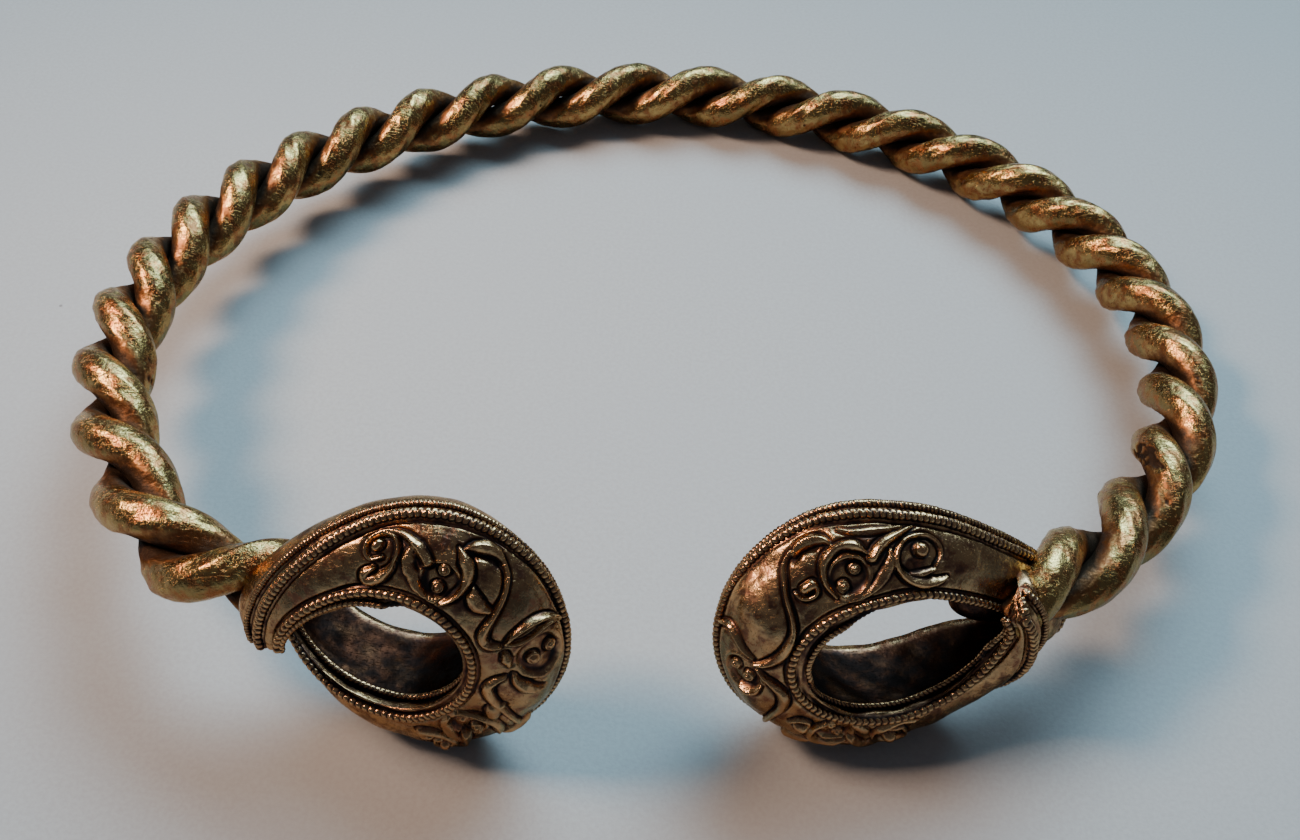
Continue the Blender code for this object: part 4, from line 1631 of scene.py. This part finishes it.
Socket = bpy.types.NodeSocket
Colour = tuple[float, float, float]
Range = tuple[float, float]


class Nodes:
    """A few words for building a shader's node tree."""

    def __init__(self, tree: bpy.types.NodeTree) -> None:
        """Work on the given tree."""
        self.tree = tree

    def add(
        self, kind: str, inputs: dict[str | int, object] | None = None, **properties: object
    ) -> bpy.types.Node:
        """Add a node.

        Args:
            kind: Blender's name for the kind of node.
            inputs: Values or sockets for its inputs, by their names or numbers.
            **properties: What else is set on it, before its inputs.

        Returns:
            The node.
        """
        node = self.tree.nodes.new(kind)
        for key, value in properties.items():
            setattr(node, key, value)
        for key, value in (inputs or {}).items():
            self.feed(value, node.inputs[key])
        return node

    def feed(self, value: object, target: Socket) -> None:
        """Give an input its value.

        Args:
            value: A socket to link, or a number, a vector or a colour.
            target: The input.
        """
        if isinstance(value, Socket):
            self.tree.links.new(value, target)
        elif target.type == "RGBA":
            target.default_value = (*value, 1.0)
        else:
            target.default_value = value

    def math(self, operation: str, first: object, second: object) -> Socket:
        """A calculation with two values."""
        return self.add("ShaderNodeMath", {0: first, 1: second}, operation=operation).outputs[0]

    def plus(self, base: object, *terms: tuple[Socket, float]) -> object:
        """A base plus each value times its weight.

        Args:
            base: What is added to.
            *terms: Pairs of a value and its weight.

        Returns:
            The sum.
        """
        for value, weight in terms:
            base = self.math("ADD", base, self.math("MULTIPLY", value, weight))
        return base

    def fit(self, value: Socket, given: Range, wanted: Range = (0.0, 1.0)) -> Socket:
        """A value's range changed by a soft step, which stays level beyond its ends.

        Args:
            value: The value.
            given: Its range.
            wanted: The range that this becomes.

        Returns:
            The new value.
        """
        ends = ("From Min", "From Max", "To Min", "To Max")
        inputs = {"Value": value, **dict(zip(ends, (*given, *wanted)))}
        return self.add("ShaderNodeMapRange", inputs, interpolation_type="SMOOTHSTEP").outputs["Result"]

    def mix(self, factor: object, first: object, second: object, blend: str = "MIX") -> Socket:
        """Two colours mixed."""
        inputs = {0: factor, 6: first, 7: second}
        return self.add("ShaderNodeMix", inputs, data_type="RGBA", blend_type=blend).outputs[2]

    def noise(
        self, vector: Socket, scale: float, detail: float = 3.0, roughness: float = 0.55
    ) -> Socket:
        """Cloudy noise between 0 and 1."""
        inputs = {"Vector": vector, "Scale": scale, "Detail": detail, "Roughness": roughness}
        return self.add("ShaderNodeTexNoise", inputs).outputs["Fac"]

    def cells(self, vector: Socket, scale: float, feature: str = "F1") -> Socket:
        """Distance to the middle of irregular cells."""
        inputs = {"Vector": vector, "Scale": scale}
        return self.add("ShaderNodeTexVoronoi", inputs, feature=feature).outputs["Distance"]

    def attribute(self, name: str) -> Socket:
        """A value stored on the mesh."""
        return self.add("ShaderNodeAttribute", attribute_name=name).outputs["Fac"]


@dataclass(frozen=True)
class Scratches:
    """Fine lines in one direction: noise that is stretched and turned.

    Attributes:
        squeeze: How much finer the noise is along each axis.
        turn: Its turn about each axis, in radians.
        scale: Scale of the noise.
        lines: Range of the noise over which a line begins.
    """

    squeeze: tuple[float, float, float]
    turn: tuple[float, float, float]
    scale: float
    lines: Range

    def mask(self, nodes: Nodes, vector: Socket) -> Socket:
        """One on the lines and zero between them.

        Args:
            nodes: The tree that the nodes are added to.
            vector: The place on the piece.

        Returns:
            The mask.
        """
        turned = {"Vector": vector, "Scale": self.squeeze, "Rotation": self.turn}
        stretched = nodes.add("ShaderNodeMapping", turned).outputs[0]
        return nodes.fit(nodes.noise(stretched, self.scale, 4.0, 0.7), self.lines)


SCRATCHES = (
    Scratches((1.0, 6.0, 2.0), (0.5, 0.3, 0.7), 900.0, (0.56, 0.70)),
    Scratches((5.0, 1.2, 1.2), (-0.4, 0.6, -0.5), 800.0, (0.58, 0.72)),
)
LARGEST_PIT = 0.24
"""Radius of the largest pits, as a share of the cells that they lie in."""


def wear_group() -> bpy.types.NodeTree:
    """Marks of age and use on gold: clouds of tone, small dents, scratches and pits.

    Returns:
        A group that puts out one value for each kind of mark, from a place and an amount of pits.
    """
    tree = bpy.data.node_groups.new("wear", "ShaderNodeTree")
    tree.interface.new_socket("Vector", in_out="INPUT", socket_type="NodeSocketVector")
    tree.interface.new_socket("Pits", in_out="INPUT", socket_type="NodeSocketFloat")
    nodes = Nodes(tree)
    vector, pits = nodes.add("NodeGroupInput").outputs[:2]
    dents, fine = nodes.cells(vector, 430.0, "SMOOTH_F1"), nodes.noise(vector, 1500.0, 3.0, 0.6)
    patches = nodes.fit(nodes.noise(vector, 60.0, 2.0), (0.50, 0.72), (0.0, LARGEST_PIT))
    limit = nodes.math("MULTIPLY", patches, pits)
    marks = {
        "Tone": nodes.noise(vector, 95.0, 3.0),
        "Mottle": nodes.noise(vector, 520.0, 5.0, 0.62),
        "Dents": nodes.plus(0.0, (dents, 0.65), (fine, 0.35)),
        "Scratches": nodes.math("MAXIMUM", *(lines.mask(nodes, vector) for lines in SCRATCHES)),
        "Pits": nodes.math("LESS_THAN", nodes.cells(vector, 300.0), limit),
    }
    for label in marks:
        tree.interface.new_socket(label, in_out="OUTPUT", socket_type="NodeSocketFloat")
    nodes.add("NodeGroupOutput", marks)
    return tree


DULL_EDGE: Colour = (0.09, 0.07, 0.06)
# Tint of grazing reflections where grime and painted shade cover the gold, and on the inner walls'
# painted shade.
"""Tint of grazing reflections where dirt covers the gold."""
WALL_SHADE_TINT: Colour = (0.19, 0.145, 0.125)
# Painted shade: how much darker the gold is made on the loops' inner walls, where shade falls inside the
# holes.
"""How the loops' inner walls darken the gold."""

BRIGHT_TONES = (0.36, 0.62)
RED_MOTTLE = (0.44, 0.64)
RED_HOLLOWS = (0.02, 0.55)
FILM_CLOUDS = (0.42, 0.64)
DIRTY_AND_SHADED_HOLLOWS = (0.06, 0.92)
# Ranges over which gold turns bright, red twice (the second in hollows, partly painted shade), filmed
# over, and dark with grime and painted shade.
"""Ranges over which gold turns bright, red twice, filmed over and dirty."""
CAKED_DIRT_AND_SHADE = (0.6, 1.0)
CAKED_METALLIC = 0.78
# Range of grime and painted shade that covers the metal, and how metallic it still is where it is
# thickest.
"""Range of dirt that covers the metal, and how metallic it still is where it is thickest."""
GRAZING_LEVEL = 0.35
"""Strength of grazing reflections."""
DENT_DEPTH = 0.00035
"""Depth of the small dents, in metres."""


@dataclass(frozen=True)
class AgedGold:
    """Old worked gold: rubbed and lit with a painted highlight on its crests, dark and dull with grime
    and painted shade in its hollows.

    Attributes:
        name: Name of the material.
        bright: Colour of rubbed gold.
        olive: Colour of duller gold.
        copper: Colour of its reddish clouds.
        dirt_and_shade: Colour of the dark film, and of the grime and painted shade in hollows.
        edge: Tint of grazing reflections on clean gold.
        pits: How many pits there are.
        roughness: Roughness of rubbed gold.
        bump: Strength of the small dents.
        grime: Strength of the dark film on what is not rubbed.
        redness: Strength of the reddish clouds.
    """

    name: str
    bright: Colour
    olive: Colour
    copper: Colour
    dirt_and_shade: Colour
    edge: Colour
    pits: float
    roughness: float
    bump: float
    grime: float
    redness: float

    def material(self, wear: bpy.types.NodeTree) -> bpy.types.Material:
        """Build the material.

        Args:
            wear: The group of wear marks.

        Returns:
            The material, which reads the grime and painted shade, the lightened crests and the inner
            walls' painted shade stored on a mesh.
        """
        material = bpy.data.materials.new(self.name)
        material.use_nodes = True
        nodes = Nodes(material.node_tree)
        place = nodes.add("ShaderNodeTexCoord").outputs["Object"]
        marks = nodes.add("ShaderNodeGroup", {"Vector": place, "Pits": self.pits}, node_tree=wear)
        tone, mottle, dents, scratches, pitted = marks.outputs
        crest, wall_shade = nodes.attribute("crest"), nodes.attribute("wall_shade")
        # Grime and painted shade from the crevice values, broken up by clouds.
        hollow = nodes.plus(
            nodes.attribute("crevice"),
            (nodes.math("SUBTRACT", mottle, 0.5), 0.8),
            (nodes.math("SUBTRACT", tone, 0.5), 0.9),
        )
        in_pits = nodes.math("MULTIPLY", pitted, 0.85)
        # Mask of grime and painted shade, and of the grime in pits.
        dirt_and_shade_mask = nodes.math("MAXIMUM", nodes.fit(hollow, DIRTY_AND_SHADED_HOLLOWS), in_pits)
        film = nodes.fit(nodes.plus(0.0, (mottle, 0.55), (tone, 0.45)), FILM_CLOUDS)
        film = nodes.math("MULTIPLY", film, nodes.math("SUBTRACT", 1.0, crest))
        colour = nodes.mix(nodes.fit(tone, BRIGHT_TONES), self.olive, self.bright)
        for mask, strength, tint in (
            (nodes.fit(mottle, RED_MOTTLE), self.redness, self.copper),
            # Copper tint in the hollows, partly the gold's own and partly painted shade.
            (nodes.fit(hollow, RED_HOLLOWS), self.redness, self.copper),
            # Crests lightened towards bright gold: rubbed wear and painted highlight.
            (crest, 0.55, self.bright),
            (film, self.grime, self.dirt_and_shade),
            # Grime and painted shade in hollows, grooves and on the inner walls.
            (dirt_and_shade_mask, 1.0, self.dirt_and_shade),
        ):
            colour = nodes.mix(nodes.math("MULTIPLY", mask, strength), colour, tint)
        # Grazing reflections dulled under grime and painted shade, and on the inner walls' painted
        # shade.
        dull = nodes.math("MAXIMUM", dirt_and_shade_mask, wall_shade)
        rubbing = ((mottle, 0.16), (scratches, 0.10), (crest, -0.10), (dirt_and_shade_mask, 0.30))
        dented = nodes.plus(dents, (scratches, -0.10), (pitted, -0.6))
        bump = {"Strength": self.bump, "Distance": DENT_DEPTH, "Height": dented}
        shader = material.node_tree.nodes["Principled BSDF"]
        for label, value in {
            # Painted shade darkens the gold on the inner walls.
            "Base Color": nodes.mix(wall_shade, colour, WALL_SHADE_TINT, "MULTIPLY"),
            "Metallic": nodes.fit(dirt_and_shade_mask, CAKED_DIRT_AND_SHADE, (1.0, CAKED_METALLIC)),
            "Specular IOR Level": GRAZING_LEVEL,
            "Specular Tint": nodes.mix(dull, self.edge, DULL_EDGE),
            "Roughness": nodes.plus(self.roughness, *rubbing),
            "Normal": nodes.add("ShaderNodeBump", bump).outputs[0],
        }.items():
            nodes.feed(value, shader.inputs[label])
        return material


BAR_GOLD = AgedGold(
    name="hammered_gold",
    bright=(0.46, 0.302, 0.110),
    olive=(0.225, 0.150, 0.058),
    copper=(0.38, 0.138, 0.048),
    dirt_and_shade=(0.050, 0.031, 0.021),
    edge=(0.95, 0.90, 0.80),
    pits=0.75,
    roughness=0.16,
    bump=1.00,
    grime=0.36,
    redness=0.86,
)
"""Hammered gold of the twisted bars."""

TERMINAL_GOLD = AgedGold(
    name="cast_gold",
    bright=(0.55, 0.332, 0.158),
    olive=(0.212, 0.134, 0.073),
    copper=(0.27, 0.102, 0.056),
    dirt_and_shade=(0.034, 0.029, 0.031),
    edge=(0.85, 0.74, 0.60),
    pits=0.60,
    roughness=0.19,
    bump=0.66,
    grime=0.66,
    redness=0.85,
)
"""Browner cast gold of the loop terminals."""


# --------------------------------------------------------------------------------------------------
# Stage
# --------------------------------------------------------------------------------------------------


@dataclass(frozen=True)
class Viewpoint:
    """Where the torc is looked at from, in the hoop's frame.

    Attributes:
        target: The point in the middle of the view, in millimetres.
        elevation: Angle above the hoop's plane, in degrees.
        roll: Turn about the line of sight, in degrees.
        distance: Distance from the target in millimetres.
        lens: Focal length for a sensor 36 mm wide.
    """

    target: tuple[float, float, float] = (-0.18, -25.93, 0.0)
    elevation: float = 42.61
    roll: float = 4.80
    distance: float = 215.7
    lens: float = 38.0

    def matrix(self) -> Matrix:
        """Where the camera stands and how it is turned, in the torc's resting frame.

        Returns:
            The directions to its right, up and back and its place in metres, as columns.
        """
        rise = math.radians(self.elevation)
        turn = math.radians(self.roll)
        back = np.array([0.0, -math.cos(rise), math.sin(rise)])
        right = np.array([1.0, 0.0, 0.0])
        up = np.cross(back, right)
        across = math.cos(turn) * right + math.sin(turn) * up
        upright = math.cos(turn) * up - math.sin(turn) * right
        matrix = np.eye(4)
        matrix[:3, :3] = tipped(np.stack([across, upright, back])).T
        matrix[:3, 3] = lying(np.array(self.target) + self.distance * back) * MM
        return Matrix(matrix.tolist())

    def add_camera(self) -> None:
        """Add the camera and make it the scene's own."""
        data = bpy.data.cameras.new("camera")
        data.lens, data.sensor_width = self.lens, 36.0
        data.clip_start, data.clip_end = 0.01, 20.0
        camera = add_object("camera", data)
        camera.matrix_world = self.matrix()
        bpy.context.scene.camera = camera


@dataclass(frozen=True)
class SoftLight:
    """A rectangular lamp that looks at the middle of the torc.

    Attributes:
        name: The lamp's name.
        place: Where it stands, in metres.
        size: Its width and height.
        spread: Angle of its beam in degrees.
        power: Its power in watts.
        colour: Its colour.
        aim: The point it looks at.
    """

    name: str
    place: tuple[float, float, float]
    size: tuple[float, float]
    spread: float
    power: float
    colour: Colour
    aim: tuple[float, float, float] = (0.0, 0.0, 0.0)

    def add(self) -> None:
        """Add the lamp."""
        data = bpy.data.lights.new(self.name, "AREA")
        data.shape = "RECTANGLE"
        data.size, data.size_y = self.size
        data.spread = math.radians(self.spread)
        data.energy = self.power
        data.color = self.colour
        lamp = add_object(self.name, data)
        lamp.location = self.place
        lamp.rotation_mode = "QUATERNION"
        lamp.rotation_quaternion = (Vector(self.place) - Vector(self.aim)).to_track_quat("Z", "Y")


LIGHTS = (
    SoftLight(
        "warm_left", place=(-0.56, 0.03, 0.58), size=(0.26, 0.26), spread=29.0, power=0.40,
        colour=(1.0, 0.69, 0.50), aim=(-0.04, 0.0, 0.0),
    ),
    SoftLight(
        "cool_back", place=(0.20, 0.68, 0.78), size=(1.20, 0.60), spread=60.0, power=4.55,
        colour=(0.54, 0.86, 1.04),
    ),
)
ROOM_COLOUR: Colour = (0.62, 0.66, 0.76)
ROOM_STRENGTH = 0.16


@dataclass(frozen=True)
class Table:
    """The pale, plain, slightly fibrous surface that the torc lies on.

    Attributes:
        half: Half its size, in metres.
        hollows: Colour between the fibres.
        fibres: Colour of the fibres.
        clouds: Colour of faint clouds.
        specks: Colour of the few dark specks.
        roughness: Its roughness.
    """

    half: float = 2.5
    hollows: Colour = (0.345, 0.342, 0.346)
    fibres: Colour = (0.377, 0.380, 0.386)
    clouds: Colour = (0.352, 0.358, 0.372)
    specks: Colour = (0.06, 0.05, 0.05)
    roughness: float = 0.75

    def paper(self) -> bpy.types.Material:
        """Matt paper: noise for its fibres and clouds, and the middles of sparse cells for specks.

        Returns:
            The material.
        """
        material = bpy.data.materials.new("pale_paper")
        material.use_nodes = True
        shader = material.node_tree.nodes["Principled BSDF"]
        nodes = Nodes(material.node_tree)
        place = nodes.add("ShaderNodeTexCoord").outputs["Object"]
        fibre = nodes.noise(place, 1400.0, 4.0, 0.6)
        cloud = nodes.noise(place, 26.0, 3.0, 0.5)
        speck = nodes.math("LESS_THAN", nodes.cells(place, 55.0), 0.018)
        tint = nodes.mix(nodes.fit(fibre, (0.30, 0.70)), self.hollows, self.fibres)
        tint = nodes.mix(nodes.fit(cloud, (0.35, 0.70), (0.0, 0.35)), tint, self.clouds)
        tint = nodes.mix(nodes.math("MULTIPLY", speck, 0.5), tint, self.specks)
        grain = nodes.add("ShaderNodeBump", {"Strength": 0.25, "Distance": 0.0002, "Height": fibre})
        nodes.feed(tint, shader.inputs["Base Color"])
        nodes.feed(self.roughness, shader.inputs["Roughness"])
        nodes.feed(grain.outputs[0], shader.inputs["Normal"])
        return material

    def add(self) -> None:
        """Add the table as one square."""
        edge = self.half
        corners = [(-edge, -edge, 0), (edge, -edge, 0), (edge, edge, 0), (-edge, edge, 0)]
        mesh = bpy.data.meshes.new("table")
        mesh.from_pydata(corners, [], [(0, 1, 2, 3)])
        mesh.update()
        mesh.materials.append(self.paper())
        table = add_object("table", mesh)


def add_world() -> None:
    """Even, dim light from everywhere."""
    world = bpy.data.worlds.new("room")
    bpy.context.scene.world = world
    world.use_nodes = True
    background = world.node_tree.nodes["Background"]
    background.inputs["Color"].default_value = (*ROOM_COLOUR, 1.0)
    background.inputs["Strength"].default_value = ROOM_STRENGTH


# --------------------------------------------------------------------------------------------------
# The whole
# --------------------------------------------------------------------------------------------------


CARVED_ANGLES = (math.radians(-96.0), math.radians(114.0))
ANGLE_SAMPLES = (66, 510, 70)
"""Samples round a loop before, over and after the carved stretch."""
SECTION_SPANS = (
    (0.0, 0.04, 5),
    (0.04, 0.36, 86),
    (0.36, 0.46, 18),
    (0.46, 0.70, 13),
    (0.70, 0.96, 15),
    (0.96, 1.00, 5),
)
"""Start, end and number of samples of each stretch round a loop's section."""


@dataclass(frozen=True)
class Terminal:
    """One loop terminal: its carved body, its collar and the four milled rows on it.

    Attributes:
        loop: Shape and place of the loop.
        collar: The lump inside the crossing of its arms.
        ornament: Everything carved on it.
        rows: The milled rows on its band.
        collar_dirt_and_shade: How much grime and painted shade darken the collar, which lies inside the
            crossing.
    """

    loop: LoopShape
    collar: Collar
    ornament: tuple[Motif, ...]
    rows: tuple[MilledRow, ...]
    collar_dirt_and_shade: float = 0.55

    def relief(self) -> Relief:
        """The loop with its ornament and the beds of its rows, sampled closely where it is carved.

        Returns:
            The relief, ready to be carved.
        """
        start, end = self.loop.limits()
        before, over, after = ANGLE_SAMPLES
        angle = np.concatenate([
            np.linspace(start, CARVED_ANGLES[0], before, endpoint=False),
            np.linspace(*CARVED_ANGLES, over, endpoint=False),
            np.linspace(CARVED_ANGLES[1], end, after),
        ])
        round_ = np.concatenate([np.linspace(*span, endpoint=False) for span in SECTION_SPANS])
        relief = Relief(self.loop, angle, round_)
        for motif in self.ornament:
            motif.draw(relief)
        for row in self.rows:
            row.bed(relief)
        return relief

    def build(self) -> dict[str, tuple[np.ndarray, dict[str, np.ndarray]]]:
        """Surfaces of all its pieces.

        Returns:
            For each piece, by the last part of its name, its grid of points and the values on them.
        """
        relief = self.relief()
        collar = self.collar.build(self.loop)
        # Grime and painted shade on the collar, which lies in the shade inside the crossing.
        dirt_and_shade = np.full(collar.shape[:2], self.collar_dirt_and_shade)
        pieces = {"body": relief.carved(), "collar": (collar, {"crevice": dirt_and_shade})}
        return pieces | {row.name: row.build(relief) for row in self.rows}

    def dress(self, material: bpy.types.Material) -> None:
        """Put its pieces in the scene in place of its solid.

        Args:
            material: What they are made of.
        """
        node = "terminal_" + self.loop.side.value
        for part, surface in self.build().items():
            name = f"{node}_{part}"
            mesh = grid_mesh(name, *surface, flip=self.loop.side is Side.RIGHT)
            piece = add_piece(name, mesh, material)
            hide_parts(node)
            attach(piece, "root")


BARS = (Bar("twisted_bar_a", which=0), Bar("twisted_bar_b", which=1))
TERMINALS = tuple(Terminal(LOOPS[side], COLLARS[side], ORNAMENT[side], ROWS[side]) for side in Side)


def main() -> None:
    """Build the torc on its table."""
    logging.basicConfig(level=logging.INFO, format="%(name)s: %(message)s")
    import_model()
    wear = wear_group()
    bar_gold, terminal_gold = BAR_GOLD.material(wear), TERMINAL_GOLD.material(wear)
    for bar in BARS:
        bar.dress(bar_gold)
    for terminal in TERMINALS:
        terminal.dress(terminal_gold)
    Table().add()
    add_world()
    for light in LIGHTS:
        light.add()
    Viewpoint().add_camera()


if __name__ == "__main__":
    main()
